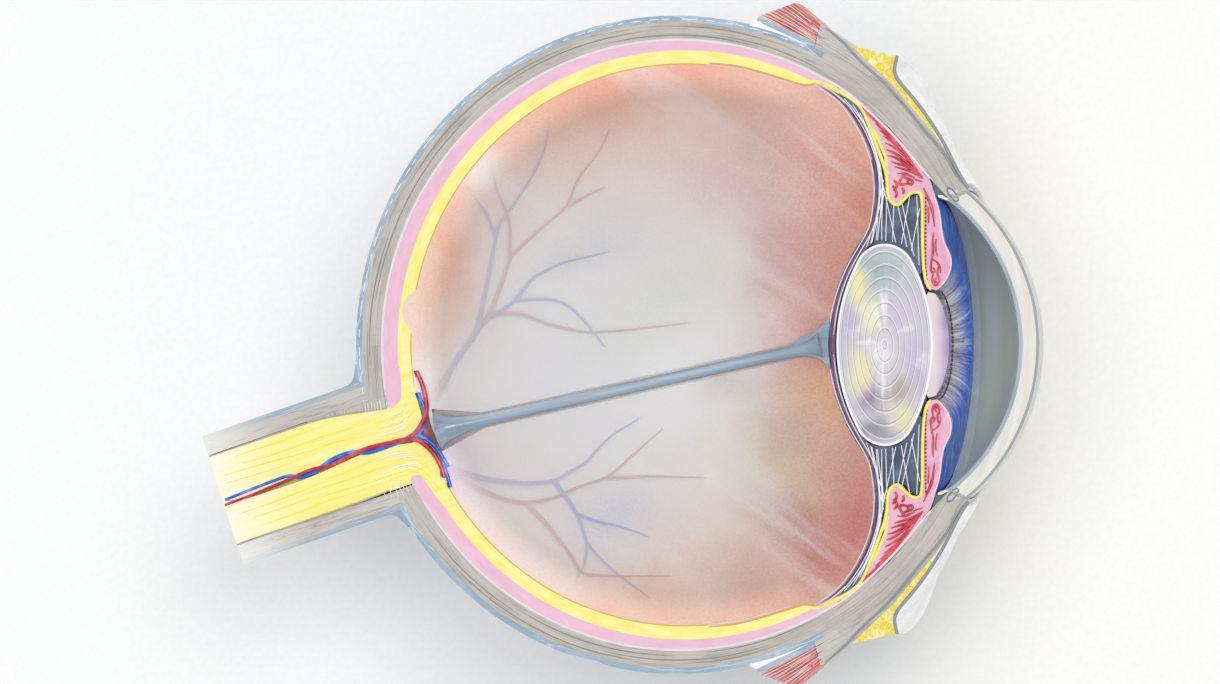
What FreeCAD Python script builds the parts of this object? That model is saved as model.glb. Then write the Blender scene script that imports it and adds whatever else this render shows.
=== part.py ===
"""Take-apart eye anatomy model, lower half, five times life size.

The eye is cut level through its middle, so every layer is half of a body of revolution.
+X runs along the optic axis to the cornea, +Z points up out of the cut face, and the origin is
the middle of the resting face, straight below the centre of the globe.
"""
import FreeCAD, Part
import math
import os
import re
import Sketcher

Vector = FreeCAD.Vector

# name: (value, what it is). Lengths are millimetres and angles are degrees.
SIZES = {
    "clearance": (0.3, "gap between pieces that lift apart"),
    # outer wall
    "sclera_outer": (57.0, "outer radius of the sclera behind the muscles"),
    "sclera_wall": (3.0, "sclera behind the muscles"),
    "inner_shift": (0.5, "how far forward the inner face of the sclera is centred"),
    "skin_thickness": (1.1, "episcleral skin"),
    "skin_front_angle": (62.3, "where the skin stops, measured at the globe centre from the optic axis"),
    "front_step_angle": (56.4, "where the thick front of the sclera starts"),
    # uvea and retina
    "choroid_wall": (1.7, "choroid, between the clearance and the retina"),
    "retina_wall": (2.4, "retina"),
    "retina_shift": (1.5, "how far forward the retina is centred"),
    "fovea_angle": (172.6, "where the foveal pit lies, from the optic axis"),
    "pit_radius": (3.0, "rim of the foveal pit"),
    "pit_depth": (1.5, "foveal pit"),
    "pit_margin": (0.3, "how far the cutter of the pit stands clear of the retina"),
    "ora_set": (31.4, "plane of the ora serrata behind the front of the scleral sphere"),
    "choroid_angle": (56.7, "front edge of the choroid"),
    "ciliary_angle": (33.7, "front edge of the ciliary body"),
    "epithelium_thickness": (0.5, "ciliary epithelium"),
    "fold_count": (30, "ciliary folds round the half ring"),
    "fold_gap": (2.6, "width of the valley between folds, in degrees"),
    "fold_height": (5.2, "how far the ciliary folds stand in from the ciliary body"),
    "fold_depth": (1.9, "depth of the valleys between the folds"),
    "fold_tip_run": (1.8, "front of a fold's tip, forward of its root"),
    "fold_heel_run": (0.4, "back of a fold's tip, forward of its root"),
    "fold_heel_rise": (0.3, "slope of a fold's tip"),
    "fold_back_run": (0.5, "how far the back of a fold leans backward"),
    "fold_back_drop": (1.2, "height of that lean"),
    "fold_front_run": (0.6, "how far the front of a fold leans forward"),
    "valley_run": (3.0, "how far the cutter of the valleys runs past the folds"),
    # cornea and limbus
    "limbus_set": (3.9, "outer rim of the cornea behind the front of the scleral sphere"),
    "limbus_radius": (26.9, "outer rim of the cornea"),
    "limbus_gap": (0.35, "gap between the rim of the cornea and the sclera"),
    "rim_run": (3.6, "slant of the limbus joint along the axis"),
    "rim_rise": (1.6, "slant of the limbus joint in radius"),
    "cornea_radius": (35.0, "outer curve of the cornea"),
    "cornea_wall": (3.3, "difference between the outer and the inner curve of the cornea"),
    "corneal_epithelium": (0.5, "outer skin of the cornea"),
    "corneal_endothelium": (0.7, "inner skin of the cornea"),
    "schlemm_width": (2.2, "length of the oval section of the canal of Schlemm"),
    "schlemm_height": (0.9, "height of that section"),
    "schlemm_depth": (3.0, "how far behind the outer rim of the cornea it lies"),
    # lens, iris and vitreous
    "lens_set": (19.1, "plane of the lens equator behind the front of the scleral sphere"),
    "lens_radius": (17.8, "equator of the lens"),
    "lens_half": (8.7, "half the thickness of the lens"),
    "lens_edge": (5.5, "rounding of the lens at its equator"),
    "capsule_thickness": (0.4, "lens capsule"),
    "cortex_share": (0.74, "size of the inner cortex beside the whole lens"),
    "nucleus_share": (0.47, "size of the nucleus beside the whole lens"),
    "pupil_radius": (9.8, "pupil"),
    "iris_thickness": (4.3, "iris at the collarette, its thickest ring"),
    "collarette_radius": (15.4, "radius of the collarette"),
    "pigment_thickness": (0.4, "dark back layer of the iris"),
    "fossa_radius": (31.8, "hollow in the vitreous behind the lens"),
    "fossa_gap": (0.9, "gap between the back of the lens and the vitreous"),
    "fossa_edge": (20.5, "radius of the rim of that hollow"),
    "vitreous_rim_radius": (26.5, "ridge of the vitreous round the lens"),
    "vitreous_rim_rise": (1.0, "how far forward the ridge stands of the hollow"),
    "vitreous_bulge": (22.0, "curve of the vitreous inside the ciliary body"),
    "membrane_thickness": (0.6, "anterior hyaloid membrane, along the axis"),
    "canal_angle": (12.2, "slant of the hyaloid canal to the optic axis"),
    "canal_bore": (0.6, "inside radius of the hyaloid canal"),
    "canal_wall": (0.5, "wall of the hyaloid canal"),
    "funnel_radius": (3.6, "funnel of the canal at the optic disc"),
    "funnel_length": (8.9, "length of that funnel"),
    "mouth_radius": (2.5, "funnel of the canal at the lens"),
    "mouth_length": (4.5, "length of that funnel"),
    "vessel_radius": (0.4, "blood vessels on the retina"),
    "crossing_gap": (0.1, "gap between a vein and an artery that crosses it"),
    "zonule_radius": (0.22, "zonule fibres"),
    # optic nerve
    "nerve_angle": (18.5, "slant of the nerve to the optic axis"),
    "nerve_length": (30.0, "how far the nerve stands out of the sclera"),
    "nerve_core": (8.1, "radius of the nerve core"),
    "sheath_outer": (11.0, "outer radius of the dural sheath"),
    "sheath_skin": (1.0, "skin of the sheath"),
    "disc_step": (1.4, "how far the face of the optic disc stands in from the retina"),
    "lamina_set": (1.3, "front of the lamina cribrosa inside the outer face of the sclera"),
    "lamina_thickness": (1.8, "lamina cribrosa"),
    "vessel_channel": (1.25, "channel for the central vessels in the nerve"),
    "strand_radius": (0.45, "central artery and vein"),
    "strand_gap": (0.15, "half the gap between the artery and the vein in the nerve"),
    "strand_turns": (3.5, "turns of the vein round the artery"),
    "strand_inset": (0.5, "how far the vessels stop short of the cut end of the nerve"),
    "strand_reach": (0.6, "how far from the disc's face they fork"),
    "branch_lift": (0.1, "extra gap between the branches and the retina"),
    "branch_share": (0.9, "size of a branch beside its vessel"),
    "artery_branch_drop": (0.7, "branches of the artery below the cut face"),
    "artery_branch_up": (12.5, "end of the lateral branch of the artery, from the nerve"),
    "artery_branch_down": (10.0, "end of the medial branch of the artery, from the nerve"),
    "vein_branch_drop": (1.9, "branches of the vein below the cut face"),
    "vein_branch_up": (8.5, "end of the lateral branch of the vein, from the nerve"),
    "vein_branch_down": (12.6, "end of the medial branch of the vein, from the nerve"),
    # muscles, tendons, fat and conjunctiva
    "muscle_half_angle": (25.0, "half width of a rectus muscle round the optic axis"),
    "muscle_back_angle": (75.4, "cut end of the muscle, lower edge"),
    "muscle_top_angle": (70.3, "cut end of the muscle, upper edge"),
    "insertion_angle": (65.0, "where the muscle meets its tendon"),
    "muscle_lift": (1.7, "gap under the cut end of the muscle, filled by fascia"),
    "muscle_height": (5.9, "upper edge of the cut end above the skin"),
    "tendon_height": (4.1, "tendon above the skin where the muscle meets it"),
    "tendon_end_angle": (44.4, "front edge of the tendon"),
    "fat_front_angle": (37.0, "front edge of the orbital fat"),
    "fat_height": (5.0, "outer edge of the fat above the sclera"),
    "conjunctiva_thickness": (0.6, "conjunctiva"),
    "conjunctiva_angle": (28.1, "front edge of the conjunctiva"),
    # foot
    "foot_radius": (29.0, "widest part of the foot"),
    "foot_edge": (3.0, "upright edge of the foot"),
    "seat_radius": (26.0, "rim of the hollow that the globe sits in"),
    "mat_radius": (27.0, "rubber mat under the foot"),
    "mat_thickness": (1.5, "rubber mat"),
    "boss_radius": (7.0, "boss under the globe"),
    "boss_length": (3.0, "how far the boss stands below the globe"),
    "boss_root": (1.5, "how far the boss runs into the sclera"),
    "head_gap": (0.2, "gap between the screw head and the mat"),
    "boss_clearance": (0.05, "radial gap round the boss and round the screw"),
    "screw_radius": (2.0, "screw shank"),
    "screw_head_radius": (4.0, "screw head"),
    "screw_head_height": (2.3, "screw head"),
    "screw_grip": (4.2, "screw thread inside the boss"),
    "washer_thickness": (0.8, "washer"),
    "washer_radius": (4.5, "washer"),
    "web_thickness": (3.2, "foot between the washer and the boss"),
    "base_hole_radius": (1.7, "pilot holes for screwing the foot to a board"),
    "base_hole_circle": (19.0, "radius of the circle of pilot holes"),
    "base_hole_depth": (8.0, "depth of the pilot holes"),
    "base_hole_count": (3, "pilot holes"),
}

# name: (how it follows from the sizes above, what it is)
DERIVED = {
    "sclera_inner": ("sclera_outer - sclera_wall", "inner radius of the sclera"),
    "retina_outer": ("sclera_inner - clearance - choroid_wall", "outer radius of the retina"),
    "retina_inner": ("retina_outer - retina_wall", "inner radius of the retina"),
    "ora_x": ("sclera_outer - ora_set", "plane of the ora serrata, where the retina stops"),
    "limbus_x": ("sclera_outer - limbus_set", "outer rim of the cornea along the axis"),
    "lens_x": ("sclera_outer - lens_set", "plane of the lens equator"),
    "nerve_end": ("sclera_outer + nerve_length", "cut end of the nerve, from the globe centre"),
    "disc_face": ("retina_inner - disc_step", "face of the optic disc, from the globe centre"),
    "lamina_front": ("sclera_outer - lamina_set", "front of the lamina cribrosa"),
}

doc = FreeCAD.newDocument("eye_model")
sheet = doc.addObject("Spreadsheet::Sheet", "Sizes")
cells = {alias: (str(number), meaning) for alias, (number, meaning) in SIZES.items()}
cells.update({alias: ("=" + rule, meaning) for alias, (rule, meaning) in DERIVED.items()})
for row, (alias, (content, meaning)) in enumerate(cells.items(), start=1):
    sheet.set(f"A{row}", meaning)
    sheet.set(f"B{row}", content)
    sheet.setAlias(f"B{row}", alias)
doc.recompute()

ALIASES = re.compile(r"\b(" + "|".join(cells) + r")\b")
nodes = {}


def bound(text):
    """Point every size named in an expression at the spreadsheet."""
    return ALIASES.sub(r"Sizes.\1", text)


def value(text):
    """Work an expression out as a number."""
    return float(sheet.evalExpression(bound(text)))


# ---------------------------------------------------------------- shared lengths and points

SKIN_OUTER = "(sclera_outer + skin_thickness)"
LIP_RADIUS = "(limbus_radius + limbus_gap)"
SCLERA_FRONT = f"sqrt(limbus_x * limbus_x + {LIP_RADIUS} * {LIP_RADIUS})"
CHOROID_OUTER = "(sclera_inner - clearance)"
CORNEA_INNER = "(cornea_radius - cornea_wall)"
BOSS_BOTTOM = "(mat_thickness + head_gap + screw_head_height + washer_thickness + web_thickness)"
CENTRE_HEIGHT = f"({BOSS_BOTTOM} + boss_length + sclera_outer)"
VITREOUS_RADIUS = "(retina_inner - 2 * vessel_radius - clearance)"
VESSEL_SHELL = "(retina_inner - vessel_radius - 0.02)"


def height(radius, x, shift="0"):
    """Distance from the optic axis of a sphere centred at shift, in the plane at x."""
    return f"sqrt(({radius}) * ({radius}) - (({x}) - ({shift})) * (({x}) - ({shift})))"


def on_sphere(radius, x, shift="0"):
    return (x, height(radius, x, shift))


def polar(radius, angle, shift="0"):
    """A point given by its distance and its angle to the optic axis."""
    return (f"({shift}) + ({radius}) * cos({angle})", f"({radius}) * sin({angle})")


def uveal(depth, angle):
    """A point below the outer face of the choroid and ciliary body."""
    return polar(f"{CHOROID_OUTER} - {depth}", angle, "inner_shift")


# ---------------------------------------------------------------- how the pieces are made

def origin_plane(body, role):
    return next(plane for plane in body.Origin.OriginFeatures if plane.Role == role)


def new_body(name, at_centre=True):
    """A body whose own frame is at the globe centre, or on the table for the foot."""
    body = doc.addObject("PartDesign::Body", name)
    body.Label = name
    if at_centre:
        body.setExpression("Placement.Base.z", bound(CENTRE_HEIGHT))
    nodes[name] = body
    return body


def new_sketch(body, name, role="XY_Plane", offset=None):
    sketch = body.newObject("Sketcher::SketchObject", name)
    sketch.AttachmentSupport = [(origin_plane(body, role), "")]
    sketch.MapMode = "FlatFace"
    if offset:
        axis, angle = offset
        sketch.AttachmentOffset = FreeCAD.Placement(Vector(), FreeCAD.Rotation(axis, value(angle)))
        sketch.setExpression("AttachmentOffset.Rotation.Angle", bound(angle))
    return sketch


def bind(sketch, index, expression):
    sketch.setExpression(f"Constraints[{index}]", bound(expression))


def pin_point(sketch, geometry, end, corner):
    """Hold one end of an edge at a corner given by two expressions."""
    for kind, axis, text in (("DistanceX", -2, corner[0]), ("DistanceY", -1, corner[1])):
        size = value(text)
        if abs(size) < 1e-9:
            sketch.addConstraint(Sketcher.Constraint("PointOnObject", geometry, end, axis))
        elif size > 0:
            index = sketch.addConstraint(Sketcher.Constraint(kind, -1, 1, geometry, end, size))
            bind(sketch, index, text)
        else:
            index = sketch.addConstraint(Sketcher.Constraint(kind, geometry, end, -1, 1, -size))
            bind(sketch, index, f"-({text})")


def arc_between(start, end, radius, turn):
    """The shorter arc from start to end. A turn of 1 runs anticlockwise and -1 clockwise."""
    chord = end - start
    middle = (start + end) / 2
    normal = Vector(-chord.y, chord.x, 0).normalize()
    centre = middle + normal * turn * math.sqrt(radius ** 2 - (chord.Length / 2) ** 2)
    first, last = (start, end) if turn > 0 else (end, start)
    angles = [math.atan2(point.y - centre.y, point.x - centre.x) for point in (first, last)]
    return Part.ArcOfCircle(Part.Circle(centre, Vector(0, 0, 1), radius), *angles)


def draw(sketch, path):
    """Draw a closed outline. Each step is a corner, then None for a straight edge or
    (radius, turn) for an arc to the next corner."""
    places = [Vector(value(corner[0]), value(corner[1]), 0) for corner, _ in path]
    ends = []
    for number, (corner, bend) in enumerate(path):
        start = places[number]
        finish = places[(number + 1) % len(path)]
        if bend is None:
            geometry = sketch.addGeometry(Part.LineSegment(start, finish))
            ends.append((geometry, 1, 2))
            continue
        radius, turn = bend
        geometry = sketch.addGeometry(arc_between(start, finish, value(radius), turn))
        ends.append((geometry, 1, 2) if turn > 0 else (geometry, 2, 1))
    for number, (geometry, first, last) in enumerate(ends):
        following, following_first, _ = ends[(number + 1) % len(ends)]
        sketch.addConstraint(Sketcher.Constraint("Coincident", geometry, last, following, following_first))
        pin_point(sketch, geometry, first, path[number][0])
        if path[number][1]:
            radius = path[number][1][0]
            index = sketch.addConstraint(Sketcher.Constraint("Radius", geometry, value(radius)))
            bind(sketch, index, radius)
    doc.recompute()


def turned(body, name, path, kind="Revolution", sweep="180", offset=None, role="XY_Plane", axis="H_Axis"):
    """Revolve an outline, from its own plane towards the underside."""
    sketch = new_sketch(body, name + "_outline", role, offset)
    draw(sketch, path)
    feature = body.newObject("PartDesign::" + kind, name)
    feature.Profile = sketch
    feature.ReferenceAxis = (sketch, [axis])
    feature.Reversed = True
    feature.Angle = value(sweep)
    feature.setExpression("Angle", bound(sweep))
    doc.recompute()
    return feature


def half_ring(name, path):
    """One layer of the eye: an outline beside the optic axis, turned through the lower half."""
    body = new_body(name)
    turned(body, name + "_half", path)
    return body


def box_path(start, end, inner, outer):
    """A straight-sided outline, from start to end along the axis."""
    return [((start, inner), None), ((start, outer), None), ((end, outer), None), ((end, inner), None)]


ALONG_NERVE = (Vector(0, 0, 1), "180 + nerve_angle")


def nerve_bore(body, name, radius):
    """Open a layer for the optic nerve."""
    turned(body, name, box_path("disc_face - 6", f"{SKIN_OUTER} + 4", "0", radius), "Groove", "360",
           ALONG_NERVE)


def half_rod(name, path):
    """A length of nerve or sheath, half of a rod along the nerve."""
    body = new_body(name)
    turned(body, name + "_half", path, offset=ALONG_NERVE)
    return body


def disc(body, name, radius, level, centres=((0, 0),), role="XY_Plane"):
    """A sketch of one or more circles, lying level at a height in the body's own frame."""
    sketch = new_sketch(body, name, role)
    sketch.setExpression("AttachmentOffset.Base.z", bound(level))
    for centre in centres:
        place = Vector(*(value(str(part)) for part in centre), 0)
        circle = sketch.addGeometry(Part.Circle(place, Vector(0, 0, 1), value(radius)))
        pin_point(sketch, circle, 3, [str(part) for part in centre])
        index = sketch.addConstraint(Sketcher.Constraint("Radius", circle, value(radius)))
        bind(sketch, index, radius)
    doc.recompute()
    return sketch


def upright(body, name, sketch, kind, length):
    """Pad a sketch upwards, or pocket it upwards."""
    feature = body.newObject("PartDesign::" + kind, name)
    feature.Profile = sketch
    feature.Reversed = kind == "Pocket"
    feature.Length = value(length)
    feature.setExpression("Length", bound(length))
    doc.recompute()
    return feature


def shaped(name, shape):
    """A piece made straight from a shape, in the frame of the globe centre."""
    piece = doc.addObject("Part::Feature", name)
    piece.Label = name
    piece.Shape = shape
    piece.Placement.Base.z = value(CENTRE_HEIGHT)
    nodes[name] = piece
    return piece


# ---------------------------------------------------------------- sclera and its skins

def make_sclera():
    body = half_ring("sclera_bowl", [
        (("-sclera_outer", "0"), ("sclera_outer", -1)),
        (polar("sclera_outer", "skin_front_angle"), None),
        (polar(SKIN_OUTER, "skin_front_angle"), None),
        (polar(SCLERA_FRONT, "front_step_angle"), (SCLERA_FRONT, -1)),
        (("limbus_x", LIP_RADIUS), None),
        (("limbus_x - rim_run", f"{LIP_RADIUS} - rim_rise"), None),
        (polar("sclera_inner", "ciliary_angle - 0.2", "inner_shift"), ("sclera_inner", 1)),
        (("inner_shift - sclera_inner", "0"), None),
    ])
    nerve_bore(body, "nerve_opening", "nerve_core + clearance")
    turned(body, "schlemm_channel", schlemm_outline(), "Groove")
    boss = disc(body, "boss_circle", "boss_radius", "-(boss_length + sclera_outer)")
    upright(body, "boss", boss, "Pad", "boss_length + boss_root")
    pilot = disc(body, "pilot_circle", "screw_radius + boss_clearance", "-(boss_length + sclera_outer)")
    upright(body, "pilot_hole", pilot, "Pocket", "screw_grip + 0.4")


def schlemm_outline():
    """An oval with round ends, just outside the slanted joint of cornea and sclera."""
    half = "(schlemm_height / 2)"
    middle = "limbus_x - schlemm_depth"
    level = f"({LIP_RADIUS} - rim_rise * schlemm_depth / rim_run + 1.0)"
    back = f"{middle} - schlemm_width / 2 + {half}"
    front = f"{middle} + schlemm_width / 2 - {half}"
    lens_shape = f"(schlemm_width * schlemm_width / 4 + {half} * {half}) / (2 * {half})"
    return [((f"{middle} - schlemm_width / 2", level), (lens_shape, -1)),
            ((f"{middle} + schlemm_width / 2", level), (lens_shape, -1))]


def make_outer_skins():
    skin = half_ring("episcleral_skin", [
        ((f"-{SKIN_OUTER}", "0"), (SKIN_OUTER, -1)),
        (polar(SKIN_OUTER, "skin_front_angle"), None),
        (polar("sclera_outer", "skin_front_angle"), ("sclera_outer", 1)),
        (("-sclera_outer", "0"), None),
    ])
    nerve_bore(skin, "sheath_opening", "sheath_outer")
    boss = disc(skin, "boss_opening_circle", "boss_radius", "-(boss_length + sclera_outer)")
    upright(skin, "boss_opening", boss, "Pocket", "skin_thickness + 6")
    half_rod("nerve_sheath", [
        (on_radius("sclera_outer", "nerve_core + clearance"), ("sclera_outer", 1)),
        (on_radius("sclera_outer", "sheath_outer"), None),
        (("nerve_end", "sheath_outer"), None),
        (("nerve_end", "nerve_core + clearance"), None),
    ])
    half_rod("nerve_sheath_skin", [
        (on_radius(SKIN_OUTER, "sheath_outer"), (SKIN_OUTER, 1)),
        (on_radius(SKIN_OUTER, "sheath_outer + sheath_skin"), None),
        (("nerve_end", "sheath_outer + sheath_skin"), None),
        (("nerve_end", "sheath_outer"), None),
    ])


def on_radius(sphere, radius):
    """Where a sphere about the globe centre is this far from the axis."""
    return (f"sqrt(({sphere}) * ({sphere}) - ({radius}) * ({radius}))", radius)


def make_schlemm_canal():
    half_ring("schlemm_canal", schlemm_outline())


# ---------------------------------------------------------------- muscles, fat and conjunctiva

INSERTION_TOP = polar(f"{SKIN_OUTER} + tendon_height", "insertion_angle")
INSERTION_FOOT = polar(SKIN_OUTER, "insertion_angle - 0.7")
INSERTION_LOW = polar(f"{SKIN_OUTER} + tendon_height / 4", "insertion_angle - 0.4")
TENDON_PATH = [
    (INSERTION_TOP, None),
    (polar(f"{SCLERA_FRONT} + 1.9", "tendon_end_angle + 14.4"), None),
    (polar(f"{SCLERA_FRONT} + 0.6", "tendon_end_angle + 4.4"), None),
    (polar(SCLERA_FRONT, "tendon_end_angle"), (SCLERA_FRONT, 1)),
    (polar(SCLERA_FRONT, "front_step_angle"), None),
    (polar(SKIN_OUTER, "skin_front_angle"), (SKIN_OUTER, 1)),
    (INSERTION_FOOT, None),
]
MUSCLE_PATH = [
    (polar(f"{SKIN_OUTER} + muscle_lift", "muscle_back_angle"), None),
    (polar(f"{SKIN_OUTER} + muscle_height", "muscle_top_angle"), None),
    (INSERTION_TOP, None),
    (INSERTION_LOW, None),
]
FASCIA_PATH = [
    (polar(f"{SKIN_OUTER} + muscle_lift", "muscle_back_angle"), None),
    (INSERTION_LOW, None),
    (INSERTION_FOOT, (SKIN_OUTER, 1)),
    (polar(SKIN_OUTER, "muscle_back_angle + 0.2"), None),
]
# Where each muscle starts round the optic axis, down from the cut face on the +Y side.
MUSCLES = {"lateral": "0", "medial": "180 - muscle_half_angle"}


def sector_offset(start):
    return None if start == "0" else (Vector(-1, 0, 0), start)


def make_muscles():
    for side, start in MUSCLES.items():
        for name, path in ((f"{side}_rectus", MUSCLE_PATH), (f"{side}_fascia", FASCIA_PATH),
                           (f"{side}_tendon", TENDON_PATH)):
            turned(new_body(name), name + "_sector", path, sweep="muscle_half_angle",
                   offset=sector_offset(start))


FAT_EDGE = [
    polar(f"{SCLERA_FRONT} + fat_height", "fat_front_angle + 14.7"),
    polar(f"{SCLERA_FRONT} + fat_height / 2", "fat_front_angle + 13.5"),
    polar(f"{SCLERA_FRONT} + fat_height * 0.4", "fat_front_angle + 11.9"),
    polar(f"{SCLERA_FRONT} + fat_height * 0.28", "fat_front_angle + 6.1"),
]


def make_fat_and_conjunctiva():
    fat = half_ring("orbital_fat", [
        (polar(SCLERA_FRONT, "fat_front_angle + 17"), None),
        (polar(f"{SCLERA_FRONT} + 1.9", "tendon_end_angle + 14.4"), None),
        *[(corner, None) for corner in FAT_EDGE],
        (polar(SCLERA_FRONT, "fat_front_angle"), (SCLERA_FRONT, 1)),
    ])
    for side, start in MUSCLES.items():
        turned(fat, f"{side}_tendon_bed", TENDON_PATH, "Groove", "muscle_half_angle", sector_offset(start))
    raised = [(f"{x} + conjunctiva_thickness * 1.2", f"{y} + 0.1") for x, y in FAT_EDGE]
    half_ring("conjunctiva", [
        *[(corner, None) for corner in raised],
        (polar(f"{SCLERA_FRONT} + conjunctiva_thickness", "fat_front_angle"),
         (f"{SCLERA_FRONT} + conjunctiva_thickness", -1)),
        (polar(f"{SCLERA_FRONT} + conjunctiva_thickness", "conjunctiva_angle"), None),
        (polar(SCLERA_FRONT, "conjunctiva_angle"), (SCLERA_FRONT, 1)),
        (polar(SCLERA_FRONT, "fat_front_angle"), None),
        *[(corner, None) for corner in reversed(FAT_EDGE)],
    ])


# ---------------------------------------------------------------- cornea

CORNEA_CENTRE = "(limbus_x - sqrt(cornea_radius * cornea_radius - limbus_radius * limbus_radius))"
INNER_RIM = "(limbus_radius - rim_rise)"
INNER_CENTRE = (f"(limbus_x - rim_run - sqrt({CORNEA_INNER} * {CORNEA_INNER}"
                f" - {INNER_RIM} * {INNER_RIM}))")


def cornea_surface(radius, centre, share):
    """The rim and the apex of one surface. The share is how far in the rim lies."""
    rim = f"(limbus_radius - rim_rise * {share})"
    return ((f"{centre} + sqrt(({radius}) * ({radius}) - {rim} * {rim})", rim), (f"{centre} + {radius}", "0"))


def cornea_layer(name, outer, inner):
    (outer_rim, outer_apex), (inner_rim, inner_apex) = (cornea_surface(*side) for side in (outer, inner))
    half_ring(name, [
        (outer_rim, (outer[0], -1)),
        (outer_apex, None),
        (inner_apex, (inner[0], 1)),
        (inner_rim, None),
    ])


def make_cornea():
    surfaces = [
        ("cornea_radius", CORNEA_CENTRE, "0"),
        ("(cornea_radius - corneal_epithelium)", CORNEA_CENTRE, "corneal_epithelium / cornea_wall"),
        (f"({CORNEA_INNER} + corneal_endothelium)", INNER_CENTRE, "(1 - corneal_endothelium / cornea_wall)"),
        (CORNEA_INNER, INNER_CENTRE, "1"),
    ]
    names = ("cornea_epithelium", "cornea_stroma", "cornea_endothelium")
    for name, outer, inner in zip(names, surfaces, surfaces[1:]):
        cornea_layer(name, outer, inner)


# ---------------------------------------------------------------- choroid, retina and ciliary body

CILIARY_INNER = [uveal("0.9", "ciliary_angle + 18.3"), uveal("1.9", "ciliary_angle + 12.2"),
                 uveal("3.5", "ciliary_angle + 7.4"), uveal("5.2", "ciliary_angle + 4.5")]
CILIARY_FRONT = [uveal("4.0", "ciliary_angle + 0.6"), uveal("1.6", "ciliary_angle - 1.7")]
FOLD_TIP = f"({CILIARY_INNER[-1][1]} - fold_height)"


def make_choroid():
    front = polar(CHOROID_OUTER, "choroid_angle", "inner_shift")
    body = half_ring("choroid", [
        ((f"inner_shift - {CHOROID_OUTER}", "0"), (CHOROID_OUTER, -1)),
        (front, None),
        (on_sphere("retina_outer", front[0], "retina_shift"), ("retina_outer", 1)),
        (("retina_shift - retina_outer", "0"), None),
    ])
    nerve_bore(body, "nerve_opening_in_choroid", "nerve_core")


def make_retina():
    body = half_ring("retina", [
        (("retina_shift - retina_outer", "0"), ("retina_outer", -1)),
        (on_sphere("retina_outer", "ora_x", "retina_shift"), None),
        (on_sphere("retina_inner", "ora_x", "retina_shift"), ("retina_inner", 1)),
        (("retina_shift - retina_inner", "0"), None),
    ])
    nerve_bore(body, "nerve_opening_in_retina", "nerve_core")
    face = "(retina_inner + retina_shift * cos(fovea_angle))"
    depth = "(pit_depth + pit_margin)"
    curve = f"({depth} * {depth} + pit_radius * pit_radius) / (2 * {depth})"
    turned(body, "foveal_pit", [
        ((f"{face} + pit_depth", "0"), (curve, 1)),
        ((f"{face} - pit_margin", "pit_radius"), None),
        ((f"{face} - pit_depth", "pit_radius"), None),
        ((f"{face} - pit_depth", "0"), None),
    ], "Groove", "360", (Vector(0, 0, 1), "fovea_angle"))


def make_ciliary_body():
    back = polar(CHOROID_OUTER, "choroid_angle", "inner_shift")
    meeting = on_sphere("retina_outer", back[0], "retina_shift")
    half_ring("ciliary_body", [
        (back, (CHOROID_OUTER, -1)),
        (polar(CHOROID_OUTER, "ciliary_angle", "inner_shift"), None),
        *[(corner, None) for corner in reversed(CILIARY_FRONT)],
        *[(corner, None) for corner in reversed(CILIARY_INNER)],
        (meeting, None),
    ])
    inner = "(retina_outer - epithelium_thickness)"
    half_ring("ciliary_epithelium", [
        (on_sphere("retina_outer", "ora_x", "retina_shift"), ("retina_outer", -1)),
        (meeting, None),
        *[(corner, None) for corner in CILIARY_INNER],
        *[((f"{x} - epithelium_thickness", f"{y} - 0.1"), None) for x, y in reversed(CILIARY_INNER)],
        (on_sphere(inner, f"{back[0]} - 0.3", "retina_shift"), (inner, 1)),
        (on_sphere(inner, "ora_x", "retina_shift"), None),
    ])


def make_ciliary_processes():
    """A ring of folds, cut apart by narrow valleys."""
    root_back = CILIARY_INNER[-1]
    body = half_ring("ciliary_processes", [
        (root_back, None),
        *[(corner, None) for corner in CILIARY_FRONT],
        ((f"{CILIARY_FRONT[0][0]} + fold_front_run", f"{CILIARY_FRONT[0][1]} - fold_back_drop"), None),
        ((f"{root_back[0]} + fold_tip_run", FOLD_TIP), None),
        ((f"{root_back[0]} + fold_heel_run", f"{FOLD_TIP} + fold_heel_rise"), None),
        ((f"{root_back[0]} - fold_back_run", f"{root_back[1]} - fold_back_drop"), None),
    ])
    valley = box_path(f"{root_back[0]} - valley_run", f"{CILIARY_FRONT[1][0]} + valley_run",
                      f"{FOLD_TIP} - valley_run", f"{FOLD_TIP} + fold_depth")
    step = "180 / fold_count"
    cut = turned(body, "valley", valley, "Groove", "fold_gap", (Vector(-1, 0, 0), f"{step} / 2"))
    pattern = body.newObject("PartDesign::PolarPattern", "valleys")
    pattern.Originals = [cut]
    pattern.Axis = (cut.Profile[0], ["H_Axis"])
    pattern.Reversed = True
    pattern.Angle = value("180 - 180 / fold_count")
    pattern.setExpression("Angle", bound("180 - 180 / fold_count"))
    pattern.Occurrences = int(value("fold_count"))
    pattern.setExpression("Occurrences", bound("fold_count"))
    body.Tip = pattern
    doc.recompute()


def make_zonule_fibres():
    """Fine rods that stand out of the capsule towards the folds, in three rows."""
    count = int(value("fold_count"))
    rod = value("zonule_radius")
    tip_x = value(f"{CILIARY_INNER[-1][0]} + 1.1")
    tip = value(f"{FOLD_TIP} - clearance")
    edge = value("lens_edge") + 0.25
    edge_centre = value("lens_radius - lens_edge")
    rods = []
    for number in range(count):
        around = math.radians((number + 0.3) * 180 / count)
        outward = Vector(0, math.cos(around), -math.sin(around))
        for lean in (-45, -12, 30):
            swing = math.radians(lean)
            end = Vector(value("lens_x") + edge * math.sin(swing), 0, 0)
            end += outward * (edge_centre + edge * math.cos(swing))
            start = Vector(tip_x + lean * 0.012, 0, 0) + outward * tip
            rods.append(Part.makeCylinder(rod, (end - start).Length, start, end - start))
    shaped("zonule_fibres", Part.makeCompound(rods))


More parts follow.
